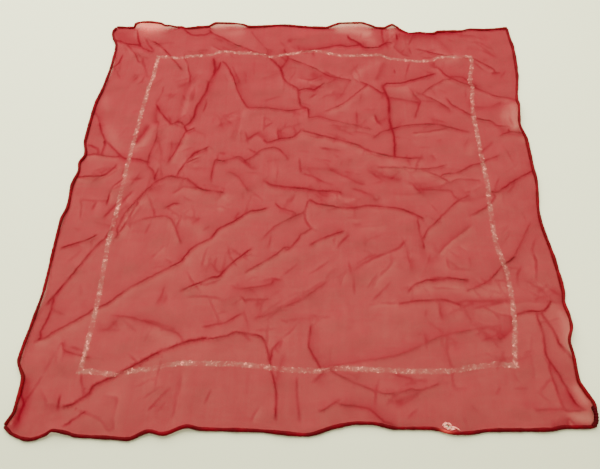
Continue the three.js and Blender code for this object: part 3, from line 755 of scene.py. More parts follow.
chance = {
    "count": 460,          # of the faint folds that lie by chance beside the charted ones
    "seed": 0,
    "length": (8.0, 40.0),
    "bend": 0.12,
    "away": (5.0, 46.0),   # from a point of a charted fold
    "turn": 0.45,          # how far its heading strays from that fold's
    "crossing": 0.2,       # share of them that lie crosswise instead
    "margin": 12.0,        # to the cut edge
    # crest and slope: the painted depth of their crests, and the spread of the painted light and shade on
    # their slopes
    "crest": (0.6, 2.6),
    "slope": 0.8,
}
creases = {
    # crest: the deeper line along each crest, packed threads and painted shade; slope: painted light and
    # shade on its two sides
    "crest": 0.126,        # what one unit of the chart is worth
    "slope": 0.096,
    "step": 4.0,           # between points of the charted crests where joins are looked for
    "kink": 0.22,          # how far a crest strays sideways
    "kinkWaves": (7, 26, 15, 24),   # shortest, longest, seed and count
    "kinkEnds": 6.0,       # how far in from its ends it strays in full
    "size": (0.75, 1.1),   # of a fold, against its kind
    "join": 4.0,           # an end this near to another crest runs into it
    "fade": (3.0, 10.0),   # how long the ends take to fade, where they join and where they don't
    "fadeShare": 0.4,      # the most that a fade takes of the fold's length
    "fadeStart": 1.0,      # how far outside its end a fade begins
    "uneven": 0.22,
    "unevenWaves": (10, 50, 11, 8),
    "lanes": 40.0,         # between the lanes of those waves that the folds run in
    "sizeRange": (0.35, 1.5),       # limits of its unevenness in shape, and in depth of colour
    "depthRange": (0.5, 1.4),
    "top": 0.4,            # share of its width that carries the cloth
    "profile": ((-1, -0.5, 0, 0.45, 1), (0, 0.25, 1, 0.5, 0)),   # height of its layers across it
    "felt": 34.0,          # how far from a fold its colour is felt
    "turnover": 0.4,       # how near its crest one slope's tone gives way to the other's
    "farGap": 8.0,         # the widest gap to a crest that counts, in widths of its line
}


def chanceFold(dice, charted):
    line = charted[dice.integers(len(charted))]
    pick = dice.integers(1, len(line) - 1)
    heading = math.atan2(*(line[pick + 1] - line[pick - 1])[::-1]) + dice.normal(0, chance["turn"])
    if dice.random() < chance["crossing"]:
        heading += math.pi / 2
    away = dice.uniform(*chance["away"]) * dice.choice((-1, 1))
    middle = line[pick] + away * np.array([-math.sin(heading), math.cos(heading)])
    length, bend = dice.uniform(*chance["length"]), dice.normal(0, chance["bend"])
    share = np.array([-0.5, 0.0, 0.5])
    return middle + np.stack([
        length * share * math.cos(heading) - length * bend * share ** 2 * math.sin(heading),
        length * share * math.sin(heading) + length * bend * share ** 2 * math.cos(heading),
    ], 1)


def makeFolds():
    dice = seededDice(chance["seed"])
    chart = [(*row[:4], fromSteps(row[4:])) for row in foldChart]
    charted = [smoothLine(row[-1], creases["step"]) for row in chart]
    owner = np.repeat(np.arange(len(charted)), [len(line) for line in charted])
    crests = np.vstack(charted)
    while len(chart) < len(foldChart) + chance["count"]:
        points = chanceFold(dice, charted)
        slopes = dice.normal(0, chance["slope"], 2)
        if np.abs(points).max() < halfSide - chance["margin"]:
            chart.append(("faint", dice.uniform(*chance["crest"]), *slopes, points))
    made = []
    for number, (kind, crest, left, right, points) in enumerate(chart):
        spec = foldKinds[kind]
        line = smoothLine(points, spec["step"])
        others = crests[owner != number]
        gaps = [np.linalg.norm(others - end, axis=1).min() for end in (line[0], line[-1])]
        run = np.arange(len(line)) * spec["step"]
        inner = eased(np.minimum(run, run[::-1]) / creases["kinkEnds"])
        stray = creases["kink"] * waves(line, *creases["kinkWaves"]) * inner
        made.append({
            **spec,
            "line": line + sideways(line) * stray[:, None],
            "side": 1 if left > right else -1,
            "size": dice.uniform(*creases["size"]),
            "crest": creases["crest"] * crest,
            "slopes": (creases["slope"] * left, creases["slope"] * right),
            "fade": [creases["fade"][0 if gap < creases["join"] else 1] for gap in gaps],
        })
    return sorted(made, key=lambda fold: -fold["crest"])


folds = makeFolds()

# The small tear beside the near hem
tear = {
    "loop": ((161.4, -317.4), (162.4, -315.6), (164.6, -314.6), (167.0, -315.3), (169.0, -317.0),
             (171.0, -318.6), (173.4, -320.6), (170.8, -321.0), (168.2, -320.9), (165.4, -320.5),
             (163.0, -319.4), (161.4, -317.4)),
    "step": 0.7,
}
tearLoop = smoothLine(tear["loop"], tear["step"])[:-1]

# Where the points of the cloth's mesh are laid
grid = {
    "edgeStep": 2.0,      # between points along the hems
    "openStep": 3.6,      # between points where the cloth is plain
    "keepClear": 0.8,     # least gap to a point of another fold
    "foldClear": 0.62,    # least gap from a fold to the plain points, in open steps
    "edgeClear": 0.55,    # the same from the edge
    "jitter": 0.16,       # of the plain points, in open steps
    "seed": 1,
    "overhang": 20.0,     # how far the plain points are laid beyond the cut square
    "cell": 0.4,          # of the map of places that are taken
    "margin": 30.0,       # of that map, beyond the cut square
}


def inside(spots, outline):
    within = np.zeros(len(spots), bool)
    ends = np.roll(outline, -1, axis=0)
    for (ax, ay), (bx, by) in zip(outline, ends):
        if ay != by:
            crosses = (spots[:, 1] < ay) != (spots[:, 1] < by)
            within ^= crosses & (spots[:, 0] < ax + (spots[:, 1] - ay) * (bx - ax) / (by - ay))
    return within


# The cell of the map of taken places that each spot lies in
def mapCells(taken, spots):
    found = ((spots + halfSide + grid["margin"]) / grid["cell"]).astype(int)
    return np.clip(found, 0, len(taken) - 1)


def markTaken(taken, spots, radius):
    reach = int(radius / grid["cell"])
    at = mapCells(taken, spots)
    for i in range(-reach, reach + 1):
        for j in range(-reach, reach + 1):
            if i * i + j * j <= reach * reach:
                spot = np.clip(at + (i, j), 0, len(taken) - 1)
                taken[spot[:, 0], spot[:, 1]] = True


def freeSpots(taken, spots):
    at = mapCells(taken, spots)
    return spots[~taken[at[:, 0], at[:, 1]]]


# The cloth's edge, which ends inside the rolled hems
def clothEdge():
    count = int(scarf["side"] / grid["edgeStep"])
    at = np.linspace(hemRadius - halfSide, halfSide - hemRadius, count)[:-1]
    return np.vstack([
        sidePoint(side, at if side in ("near", "right") else -at, hemRadius) for side in sideNames
    ])


# An even pattern of points for the plain cloth, each of them a little off its place
def plainPoints():
    step = grid["openStep"]
    reach = halfSide + grid["overhang"]
    x, y = np.meshgrid(np.arange(-reach, reach, step), np.arange(-reach, reach, step * math.sqrt(0.75)))
    x[1::2] += step / 2
    lattice = np.stack([x.ravel(), y.ravel()], 1)
    dice = seededDice(grid["seed"])
    return lattice + dice.uniform(-grid["jitter"], grid["jitter"], lattice.shape) * step


def layPoints(edge):
    span = int(2 * (halfSide + grid["margin"]) / grid["cell"])
    taken = np.zeros((span, span), bool)
    markTaken(taken, edge, grid["keepClear"])
    markTaken(taken, tearLoop, grid["keepClear"])
    kept = []
    for fold in folds:
        across = sideways(fold["line"])
        offsets = sorted({sign * row for row in fold["rows"] for sign in (-1, 1)})
        rows = np.vstack([fold["line"] + across * fold["half"] * offset for offset in offsets])
        rows = freeSpots(taken, rows)
        kept.append(rows)
        markTaken(taken, rows, grid["keepClear"])
    for rows in kept:
        markTaken(taken, rows, grid["foldClear"] * grid["openStep"])
    markTaken(taken, edge, grid["edgeClear"] * grid["openStep"])
    kept.append(freeSpots(taken, plainPoints()))
    spots = np.vstack(kept)
    return spots[inside(spots, edge) & ~inside(spots, tearLoop)]


edge = clothEdge()
spots = layPoints(edge)
stageDone(f"{len(spots)} points laid along {len(folds)} folds and between them")


def triangulate(edge, spots):
    rim, first = [], 0
    for loop in (edge, tearLoop):
        rim += [(first + i, first + (i + 1) % len(loop)) for i in range(len(loop))]
        first += len(loop)
    places, triangles = joined(np.vstack([edge, tearLoop, spots]), rim)
    # Only a triangle that joins three points of the two loops can lie outside the cloth
    middles = places[triangles].mean(1)
    doubtful = (triangles < first).all(1)
    outside = doubtful & (~inside(middles, edge) | inside(middles, tearLoop))
    return places, triangles[~outside]


places, triangles = triangulate(edge, spots)
stageDone(f"{len(places)} points joined by {len(triangles)} triangles")


# Which places lie inside the box round a line
def roundLine(places, line, reach):
    return np.flatnonzero(((places > line.min(0) - reach) & (places < line.max(0) + reach)).all(1))


# From each spot to the nearest place on a line: the signed gap, how far along, and the way across
def measureFrom(line, spots):
    start, run = line[:-1], np.diff(line, axis=0)
    lengths = np.linalg.norm(run, axis=1)
    toSpot = spots[:, None, :] - start[None]
    share = np.clip((toSpot * run).sum(2) / lengths ** 2, 0, 1)
    gap = toSpot - share[..., None] * run
    nearest = (gap ** 2).sum(2).argmin(1)
    pick = np.arange(len(spots))
    gap, share = gap[pick, nearest], share[pick, nearest]
    across = np.stack([-run[nearest, 1], run[nearest, 0]], 1) / lengths[nearest, None]
    signed = np.linalg.norm(gap, axis=1) * np.where((gap * across).sum(1) < 0, -1, 1)
    along = np.concatenate([[0], np.cumsum(lengths)])
    return signed, along[nearest] + share * lengths[nearest], along[-1], across


# What all the folds together ask of the cloth at each place: its least height, its shift
# sideways, the height of the folded layers, a soft tone of painted light and shade on their slopes
# (deeper above 0, paler below it), and the gap to the nearest crest, in widths of its line, with
# the depth of that line, packed threads and painted shade
def readFolds(places):
    count = len(places)
    felt = {
        "least": np.zeros(count), "shift": np.zeros((count, 2)), "layers": np.zeros(count),
        "tone": np.zeros(count), "gap": np.full(count, creases["farGap"]), "depth": np.zeros(count),
    }
    best = np.zeros(count)
    for number, fold in enumerate(folds):
        near = roundLine(places, fold["line"], creases["felt"])
        gap, along, length, across = measureFrom(fold["line"], places[near])
        first, last = [min(reach, creases["fadeShare"] * length) for reach in fold["fade"]]
        start, turnover = creases["fadeStart"], creases["turnover"]
        fade = eased((along + start) / first) * eased((length - along + start) / last)
        lane = np.stack([along, along * 0 + creases["lanes"] * number], 1)
        wobble = 1 + creases["uneven"] * waves(lane, *creases["unevenWaves"])

        # Its shape
        size = fold["size"] * fade * np.clip(wobble, *creases["sizeRange"])
        u = gap / fold["half"] * fold["side"]
        crest = fold["rise"] * np.sqrt(size) * (np.abs(u) <= creases["top"])
        felt["least"][near] = np.maximum(felt["least"][near], crest)
        lean = np.where(np.abs(u) < 1, -np.sin(math.pi * u), 0) * fold["lean"] * size * fold["side"]
        felt["shift"][near] += across * lean[:, None]
        layers = fold["lip"] * size * np.interp(u, *creases["profile"])
        felt["layers"][near] = np.maximum(felt["layers"][near], layers)

        # Its tone, painted light and shade on its two slopes, and the line along its crest, packed
        # threads and painted shade, where that is stronger than another fold's
        left, right = fold["slopes"]
        faded = np.clip(2 - 2 * np.abs(gap) / creases["felt"], 0, 1)
        slope = np.interp(gap, (-turnover, turnover), (right, left))
        slope *= np.exp(-np.abs(gap) / fold["reach"])
        felt["tone"][near] += slope * fade * faded
        gap = np.minimum(np.abs(gap) / fold["wide"], creases["farGap"])
        deep = fold["crest"] * fade * np.clip(wobble, *creases["depthRange"])
        score = deep * np.exp(-gap ** 2)
        stronger = score > best[near]
        for known, value in ((best, score), (felt["gap"], gap), (felt["depth"], deep)):
            known[near] = np.where(stronger, value, known[near])
    return felt


# How the charted tones are read. The far part of the cloth is painted a little deeper and the
# near part a little paler: painted shade that evens out the brighter light on the far side and
# stands for the denser look of sheer cloth seen at a slant.
toneRules = {
    "far": 0.15,
    "near": -0.10,
    "step": 5.0,
    "reach": 2.5,      # in half widths
    "sharpness": 2.2,
}


def chartedTone(places):
    away = places[:, 1] / halfSide
    tone = toneRules["far"] * eased(away) + toneRules["near"] * eased(-away)
    for strength, width, *steps in toneChart:
        line = smoothLine(fromSteps(steps), toneRules["step"])
        near = roundLine(places, line, toneRules["reach"] * width)
        gap = measureFrom(line, places[near])[0]
        tone[near] += strength * np.exp(-np.abs(gap / width) ** toneRules["sharpness"])
    return tone


felt = readFolds(places)
felt["tone"] += chartedTone(places)
stageDone("folds and tones measured")

rest = {
    "sag": 0.014,          # how fast the cloth falls away from what holds it up, in 1/mm
    "rounds": 420,
    "soften": 3,           # rounds of evening out at the end
    "softShare": 0.6,      # how much of each round is the evened height
    "pillow": 1.6,         # height of its own unevenness
    "pillowWaves": (26, 120, 3),
    "pillowRange": (0.4, 2.5),   # what is added to those waves, and the most that is kept
    "lower": 1.4,          # how far the whole cloth comes down at the end, onto the table
    "crumple": (           # spacing, height, tone and seed of its chance facets
        (26.0, 1.5, 0.02, 31),
        (12.0, 0.8, 0.03, 32),
    ),
    "jitter": 0.48,        # of the facets' corners, in spacings
    "calm": 30.0,          # how far in from the hems the facets reach their full height
    "pullRange": (0.02, 8.0),    # of one neighbour on another
}


# A crumpled field of flat facets: random heights from 0 to 1 at scattered spots, joined by
# triangles, and a random value from -1 to 1 for each facet
def facets(spots, spacing, seed):
    dice = seededDice(seed)
    ticks = np.arange(-halfSide - 2 * spacing, halfSide + 2.5 * spacing, spacing)
    x, y = np.meshgrid(ticks, ticks)
    strays = dice.uniform(-rest["jitter"], rest["jitter"], (x.size, 2)) * spacing
    corners, plates = joined(np.stack([x.ravel(), y.ravel()], 1) + strays)
    heights = dice.random(len(corners))
    result, plate = np.zeros(len(spots)), np.zeros(len(spots))
    order = np.argsort(spots[:, 0])
    sortedX = spots[order, 0]
    for triangle in plates:
        a, b, c = corners[triangle]
        low, high = np.searchsorted(sortedX, (min(a[0], b[0], c[0]), max(a[0], b[0], c[0])))
        here = order[low:high]
        solve = np.linalg.inv(np.array([[b[0] - a[0], c[0] - a[0]], [b[1] - a[1], c[1] - a[1]]]))
        share = (spots[here] - a) @ solve.T
        inner = (share > -1e-6).all(1) & (share.sum(1) < 1 + 1e-6)
        weights = np.column_stack([1 - share.sum(1), share])[inner]
        result[here[inner]] = weights @ heights[triangle]
        plate[here[inner]] = dice.uniform(-1, 1)
    return result, plate


# The pull of each point's neighbours by the cotangent rule, and a third of the area round it
def clothWeights(places, triangles):
    count = len(places)
    area = np.zeros(count)
    ends, other, values = [], [], []
    for turn in range(3):
        a, b, c = (triangles[:, (turn + k) % 3] for k in range(3))
        one, two = places[a] - places[c], places[b] - places[c]
        cross = np.abs(one[:, 0] * two[:, 1] - one[:, 1] * two[:, 0])
        weight = 0.5 * np.clip((one * two).sum(1) / np.maximum(cross, 1e-9), *rest["pullRange"])
        ends += [a, b]
        other += [b, a]
        values += [weight, weight]
        np.add.at(area, c, cross / 6)
    ends, other, values = np.concatenate(ends), np.concatenate(other), np.concatenate(values)
    order = np.argsort(ends, kind="stable")
    ends, other, values = ends[order], other[order], values[order]
    first = np.searchsorted(ends, np.arange(count))
    return {"first": first, "other": other, "values": values, "area": area,
            "total": np.add.reduceat(values, first)}


# The mean height of each point's neighbours
def neighbourMean(height, pull):
    return np.add.reduceat(pull["values"] * height[pull["other"]], pull["first"]) / pull["total"]


# Lets the cloth down over the crests and onto the table. The hems hold its edge.
def settle(places, pull, least, edgeHeight):
    sag = rest["sag"] * pull["area"] / pull["total"]
    added, most = rest["pillowRange"]
    pillow = rest["pillow"] * np.clip(waves(places, *rest["pillowWaves"]) + added, 0, most)
    least = np.maximum(least, pillow)
    height = least.copy()
    height[:len(edgeHeight)] = edgeHeight
    for _ in range(rest["rounds"]):
        height = np.maximum(neighbourMean(height, pull) - sag, least)
        height[:len(edgeHeight)] = edgeHeight
    return height


# The chance facets, fading out towards the hems
def crumple(places):
    inset = halfSide - np.abs(places).max(1)
    height, tone = np.zeros(len(places)), np.zeros(len(places))
    for spacing, tall, strength, seed in rest["crumple"]:
        rise, plate = facets(places, spacing, seed)
        height += tall * rise * eased(inset / rest["calm"])
        tone += strength * plate
    return height, tone


# How high the hem stands at each point of the cloth's edge
def edgeHeights(edge):
    flat = flatPoint(edge)
    x, y = flat[:, 0], flat[:, 1]
    nearest = np.stack([halfSide + y, halfSide - x, halfSide - y, halfSide + x]).argmin(0)
    heights = np.zeros(len(edge))
    for number, (side, at) in enumerate(zip(sideNames, (x, y, x, y))):
        here = nearest == number
        heights[here] = readRows(sideRows[side], at[here], 2)
    return heights + hemRadius


# The height of the whole cloth, and the tone of its chance facets
def laidCloth():
    pull = clothWeights(places, triangles)
    height = settle(places, pull, felt["least"], edgeHeights(edge))
    facetHeight, facetTone = crumple(places)
    inner = slice(len(edge), None)
    height[inner] += (felt["layers"] + facetHeight)[inner]
    for _ in range(rest["soften"]):
        smooth = neighbourMean(height, pull)
        height[inner] = (1 - rest["softShare"]) * height[inner] + rest["softShare"] * smooth[inner]
    height[inner] = np.maximum(height[inner] - rest["lower"], 0.0)
    return height, facetTone


height, facetTone = laidCloth()
felt["tone"] += facetTone
stageDone("cloth settled")


# An object from points in millimetres, with the values of each point
def newObject(name, points, faces, material, values):
    data = bpy.data.meshes.new(name)
    data.from_pydata(((points + squareMiddle) * mm).tolist(), [], faces)
    data.validate()
    data.materials.append(material)
    data.shade_smooth()
    for key, value in values.items():
        attribute = data.attributes.new(key, "FLOAT", "POINT")
        attribute.data.foreach_set("value", value.astype(np.float32))
    made = placeObject(name, data)
    return made


# A UV layer, from a row for each point
def layUv(made, name, rows):
    layer = made.data.uv_layers.new(name=name)
    corners = np.zeros(len(made.data.loops), int)
    made.data.loops.foreach_get("vertex_index", corners)
    layer.data.foreach_set("uv", rows[corners].astype(np.float32).ravel())


# Sheer cloth. Holes between the threads let the table show; threads pack closer in a fold. Its
# tone is also painted light and shade: deeper along the crests and on the shaded slopes, paler
# where light is painted, and brighter red where light is painted shining through by the far hem.
# Each noise is given by its scale, detail and roughness.
clothFinish = {
    # thread: plain; threadDeep: packed threads and painted shade; threadPale: painted light; threadLit:
    # painted light shining through by the far hem
    "thread": (0.295, 0.0060, 0.0215, 1),
    "threadDeep": (0.180, 0.0018, 0.0090, 1),
    "threadPale": (0.46, 0.048, 0.048, 1),
    "threadLit": (1.0, 0.030, 0.040, 1),
    "cover": 0.826,        # share that the threads cover: plain, in a fold and where shade is painted, and where light is painted and they lie open
    "coverDeep": 0.97,
    "coverPale": 0.66,
    "through": 0.35,       # share of the threads' light that passes to the other side
    "roughness": 0.9,
    "gloss": 0.04,
    "slubs": ((0.012, 0.30, 1), (0.30, 0.012, 1)),   # how they are stretched, along and across
    "slubNoise": (1.0, 3.0, 0.6),
    "slubCover": 0.05,
    "cloudNoise": (0.018, 4.0, 0.55),
    "cloudTone": 0.05,
    "toneRange": (-1.0, 0.7),
    "crestLine": (1.55, 0.15),   # gaps at which a crest's line starts to show and is full
    "raggedNoise": (0.35, 2.0, 0.6),
    "ragged": (1.3, 0.35),       # what that noise is multiplied by, and what is added
    "pitch": 0.5,          # of the weave
    "weaveRelief": 0.06,
    "crumpleNoise": (0.16, 5.0, 0.6),
    "bump": (0.5, 0.0009),       # strength, and depth in metres
}

# The printed border: a chain of lozenges, leaf pairs and dots. Patches are noises with the
# values at which they start and are full.
borderFinish = {
    "print": (1.0, 0.27, 0.20, 1),
    "printDull": (0.42, 0.24, 0.165, 1),
    "repeat": 17.0,
    "band": (4.2, 1.5),     # half its width, from where it starts to where it is full
    "lozenge": (4.1, 3.2),
    "lozengeLine": 0.84,    # where the line that draws it runs, as a share of its size
    "lozengeRim": (0.32, 0.18),
    "leafPlace": (6.1, 1.7),
    "leafSize": (2.2, 1.15),
    "leafTurn": 32.0,
    "dot": 1.25,
    "dotStretch": 1.3,      # of the dot in the middle of a lozenge
    "rim": (1.25, 0.75),    # of leaves and dots
    "wanderNoise": (0.16, 2.0, 0.6),
    "wander": 5.0,          # how far the print strays, as a worn one does
    "apart": 900.0,         # between the noises that move it in x and in y
    "worn": (0.20, 3.0, 0.6, 0.47, 0.59),
    "patchy": (0.09, 2.0, 0.6, 0.40, 0.62),
    "faded": (0.045, 2.0, 0.5, 0.30, 0.60),
    "least": 0.35,          # of the print, where it is most patchy or faded
    "ground": (0.45, 0.3),  # the dull ground: what its patches are multiplied by, and what is added
    "dull": 0.38,           # how much of the band it covers
}


def borderMask(tree, flatX, flatY):
    # An ellipse that is turned: 1 inside, 0 outside
    def blob(x, y, across, along, turn=0.0):
        c, s = math.cos(turn), math.sin(turn)
        u = times(tree, timesPlus(tree, x, c, times(tree, y, s)), 1 / across)
        v = times(tree, timesPlus(tree, x, -s, times(tree, y, c)), 1 / along)
        return smoothStep(tree, timesPlus(tree, u, u, times(tree, v, v)), *borderFinish["rim"])

    a, b = maths(tree, "ABSOLUTE", flatX), maths(tree, "ABSOLUTE", flatY)
    gap = minus(tree, maths(tree, "MAXIMUM", a, b), halfSide - scarf["borderInset"])
    onSide = maths(tree, "GREATER_THAN", a, b)
    along = plus(tree, times(tree, onSide, flatY), times(tree, minus(tree, 1.0, onSide), flatX))
    half = borderFinish["repeat"] / 2
    u = maths(tree, "ABSOLUTE", maths(tree, "WRAP", along, half, -half))
    v = maths(tree, "ABSOLUTE", gap)

    longHalf, shortHalf = borderFinish["lozenge"]
    ring = plus(tree, maths(tree, "DIVIDE", u, longHalf), maths(tree, "DIVIDE", v, shortHalf))
    ring = maths(tree, "ABSOLUTE", minus(tree, ring, borderFinish["lozengeLine"]))
    mask = smoothStep(tree, ring, *borderFinish["lozengeRim"])
    dot, stretch = borderFinish["dot"], borderFinish["dotStretch"]
    leafX, leafY = borderFinish["leafPlace"]
    leafTurn = math.radians(borderFinish["leafTurn"])
    for shape in (
        blob(u, v, dot * stretch, dot),
        blob(minus(tree, u, leafX), minus(tree, v, leafY), *borderFinish["leafSize"], leafTurn),
        blob(minus(tree, u, half), v, dot, dot),
    ):
        mask = maths(tree, "MAXIMUM", mask, shape)
    return mask, smoothStep(tree, v, *borderFinish["band"])


# Where the border is printed, and its colour there
def borderPrint(tree, flat, flatX, flatY):
    def wander(value, offset):
        shifted = vectorMaths(tree, "ADD", flat, i1=(offset, 0, 0))
        noise = noiseField(tree, shifted, *borderFinish["wanderNoise"])
        return timesPlus(tree, minus(tree, noise, 0.5), borderFinish["wander"], value)

    motifs, band = borderMask(tree, wander(flatX, 0), wander(flatY, borderFinish["apart"]))
    worn, patchy, faded = (
        patches(tree, flat, *borderFinish[key]) for key in ("worn", "patchy", "faded")
    )
    bright = times(tree, times(tree, motifs, worn), startingAt(tree, patchy, borderFinish["least"]))
    ground = times(tree, band, timesPlus(tree, plus(tree, worn, patchy), *borderFinish["ground"]))
    ground = times(tree, ground, borderFinish["dull"])
    mask = times(tree, maths(tree, "MAXIMUM", bright, ground),
                 startingAt(tree, faded, borderFinish["least"]), clamp=True)
    return mask, mixColors(tree, bright, borderFinish["printDull"], borderFinish["print"])


def clothMaterial():
    made, tree = newMaterial("sheerWeave")
    flat = vectorMaths(tree, "SCALE", uvPlace(tree, "flatCut"), Scale=scarf["side"])
    parts = addNode(tree, "SeparateXYZ", i0=flat).outputs
    flatX, flatY = minus(tree, parts[0], halfSide), minus(tree, parts[1], halfSide)
    mask, printColor = borderPrint(tree, flat, flatX, flatY)

    # Slubs: threads that run a little thicker or thinner, along and across
    def slubs(stretch):
        wide = addNode(tree, "Mapping", Vector=flat, Scale=stretch)
        return noiseField(tree, wide.outputs[0], *clothFinish["slubNoise"])

    # The tone: 0 is plain, above it the threads lie closer, in the crests' lines and as painted
    # shade, below it they lie open, as painted light
    ragged = noiseField(tree, flat, *clothFinish["raggedNoise"])
    gap = times(tree, measured(tree, "creaseGap"), timesPlus(tree, ragged, *clothFinish["ragged"]))
    line = smoothStep(tree, gap, *clothFinish["crestLine"])
    cloud = minus(tree, noiseField(tree, flat, *clothFinish["cloudNoise"]), 0.5)
    soft = plus(tree, measured(tree, "foldTone"), times(tree, cloud, clothFinish["cloudTone"]))
    tone = plus(tree, times(tree, line, measured(tree, "creaseDepth")), soft)
    deep = maths(tree, "MAXIMUM", tone, 0.0, clamp=True)
    pale = times(tree, maths(tree, "MINIMUM", tone, 0.0), -1.0, clamp=True)
    color = mixColors(tree, deep, clothFinish["thread"], clothFinish["threadDeep"])
    color = mixColors(tree, pale, color, clothFinish["threadPale"])
    # Painted light: brighter red where the cloth stands clear of the table by the far hem
    color = mixColors(tree, measured(tree, "paintedBacklight"), color, clothFinish["threadLit"])
    color = mixColors(tree, mask, color, printColor)

    cover = clothFinish["cover"]
    covered = timesPlus(tree, deep, clothFinish["coverDeep"] - cover, cover)
    covered = timesPlus(tree, pale, clothFinish["coverPale"] - cover, covered)
    slub = plus(tree, *(slubs(stretch) for stretch in clothFinish["slubs"]))
    covered = timesPlus(tree, minus(tree, slub, 1.0), clothFinish["slubCover"], covered)
    covered = maths(tree, "MAXIMUM", covered, mask, clamp=True)

    # The weave itself, too fine to tell apart from a metre off
    pitch = 2 * math.pi / clothFinish["pitch"]
    ribs = [maths(tree, "SINE", times(tree, part, pitch)) for part in (flatX, flatY)]
    relief = plus(tree, times(tree, times(tree, *ribs), clothFinish["weaveRelief"]),
                  noiseField(tree, flat, *clothFinish["crumpleNoise"]))
    normal = bumps(tree, relief, *clothFinish["bump"])

    thread = skinShader(tree, color, clothFinish["roughness"], clothFinish["gloss"], normal)
    through = addNode(tree, "BsdfTranslucent", Color=color, Normal=normal).outputs[0]
    holes = addNode(tree, "BsdfTransparent").outputs[0]
    solid = addNode(tree, "MixShader", i0=clothFinish["through"], i1=thread, i2=through)
    sheer = addNode(tree, "MixShader", i0=covered, i1=holes, i2=solid.outputs[0])
    endMaterial(tree, sheer.outputs[0])
    return made


# Painted light: the cloth is painted a brighter red where it stands clear of the table by the far
# hem, for the light from behind that shines through it there
lit = {"height": (2.0, 9.0), "from": 292.0, "share": 0.9}


def paintedBacklightShare(places, height):
    low, high = lit["height"]
    clear = eased((height - low) / (high - low))
    return lit["share"] * clear * eased((places[:, 1] - lit["from"]) / (halfSide - lit["from"]))


# The charts are drawn as the camera sees the cloth on the table, so whatever stands higher is
# really a little nearer to the camera. The hems keep to their own places, and the cloth is
# moved in full from calm inwards.
def towardsCamera(places, height, calm=36.0):
    eye = np.array(cameraPlace()[0])
    inset = halfSide - np.abs(places).max(1)
    return (eye[:2] - places) * (eased(inset / calm) * height / eye[2])[:, None]


def makeCloth():
    plan = places + felt["shift"] + towardsCamera(places, height)
    points = np.column_stack([plan, height + scarf["restHeight"]])
    made = newObject("sheer_cloth", points, triangles.tolist(), clothMaterial(), {
        "foldTone": np.clip(felt["tone"], *clothFinish["toneRange"]),
        "creaseGap": felt["gap"],
        "creaseDepth": felt["depth"],
        "paintedBacklight": paintedBacklightShare(places, height),
    })
    layUv(made, "flatCut", flatPoint(places) / scarf["side"] + 0.5)
    return made


cloth = makeCloth()
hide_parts("cloth_panel")
stageDone("cloth made")

hem = {
    "across": {"near": 4.3, "right": 4.0, "far": 3.5, "left": 4.0},
    # tint and faded: painted light and shade, each side's hem a lighter or darker copy of one red, the far
    # one brightest and palest, the near one darkest
    "tint": {"near": 0.85, "right": 1.1, "far": 1.6, "left": 1.05},
    "faded": {"near": 0.0, "right": 0.04, "far": 0.16, "left": 0.04},
    "ends": {"near": 0.8, "right": 1.7, "far": 0.8, "left": 1.7},   # how far in they end, in radii
    "sides": 16,
    "step": 1.2,         # between rings
    "tip": (0.25, 1.6),  # how thick the very end is, and over what length it rounds off
    "table": 0.05,       # least gap under it
    "stitch": 4.6,       # between the pinches of the stitching
    "stitchStray": 1.2,
    "pinch": 0.10,
    "lump": 0.13,
    "lumpWaves": (7, 40, 20, 16),
    "slowWaves": (25, 110, 25, 12),
    "lumpShares": (0.4, 0.6),
    "thickRange": (0.7, 1.3),
    "groove": 0.16,      # depth of the line where the roll meets the cloth
    "groovePlace": 0.40,   # and its width, in turns round the roll
    "grooveWide": 0.06,
    "color": (0.085, 0.0008, 0.0028),
    "bright": (0.155, 0.0016, 0.0060),
    "patchNoise": (60.0, 4.0, 0.6),
    "patchRange": (0.42, 0.72),
    # worn: the paler red painted round a spot under the tear and, as much as faded says, over a whole hem,
    # painted light on the far hem
    "worn": (0.46, 0.042, 0.030, 1),
    "palerPlace": (163.0, -322.0),  # where the near hem is painted a paler, brighter red, under the tear
    "palerReach": 5.8,
    "wraps": (3.0, 5.2),  # slant and spacing of the stitching's wraps round the roll
    "wrapRelief": 0.5,
    "bump": (0.6, 0.0003),
    "roughness": 0.62,
    "gloss": 0.04,
}

# The last stretch of the right hem is turned over and lies double at the near corner
doubledEnd = {
    "points": ((323.8, -294.2, 4.8), (325.2, -298.4, 5.8), (325.5, -303.4, 6.2), (324.8, -308.6, 6.0),
               (323.2, -312.8, 5.2), (319.8, -315.4, 3.8)),
    "step": 0.6,
    "across": 5.0,
    "lumps": 2.9,        # between its lumps
    "lumpWaves": (5, 15, 50, 8),
    "lump": 0.14,
    "tint": 0.5,
}


def hemMaterial(name, tint):
    made, tree = newMaterial(name)
    run, turn = addNode(tree, "SeparateXYZ", i0=uvPlace(tree, "alongHem")).outputs[:2]
    slant, spacing = hem["wraps"]
    wraps = maths(tree, "SINE", times(tree, plus(tree, run, times(tree, turn, slant)), spacing))
    patch = noiseField(tree, objectPlace(tree), *hem["patchNoise"])
    # Painted light and shade: each hem's red is made lighter or darker by its tint
    dark, bright = [(*(tint * part for part in hem[key]), 1) for key in ("color", "bright")]
    color = mixColors(tree, smoothStep(tree, patch, *hem["patchRange"]), dark, bright)
    color = mixColors(tree, measured(tree, "hemPaler"), color, hem["worn"])
    normal = bumps(tree, timesPlus(tree, wraps, hem["wrapRelief"], patch), *hem["bump"])
    endMaterial(tree, skinShader(tree, color, hem["roughness"], hem["gloss"], normal))
    return made


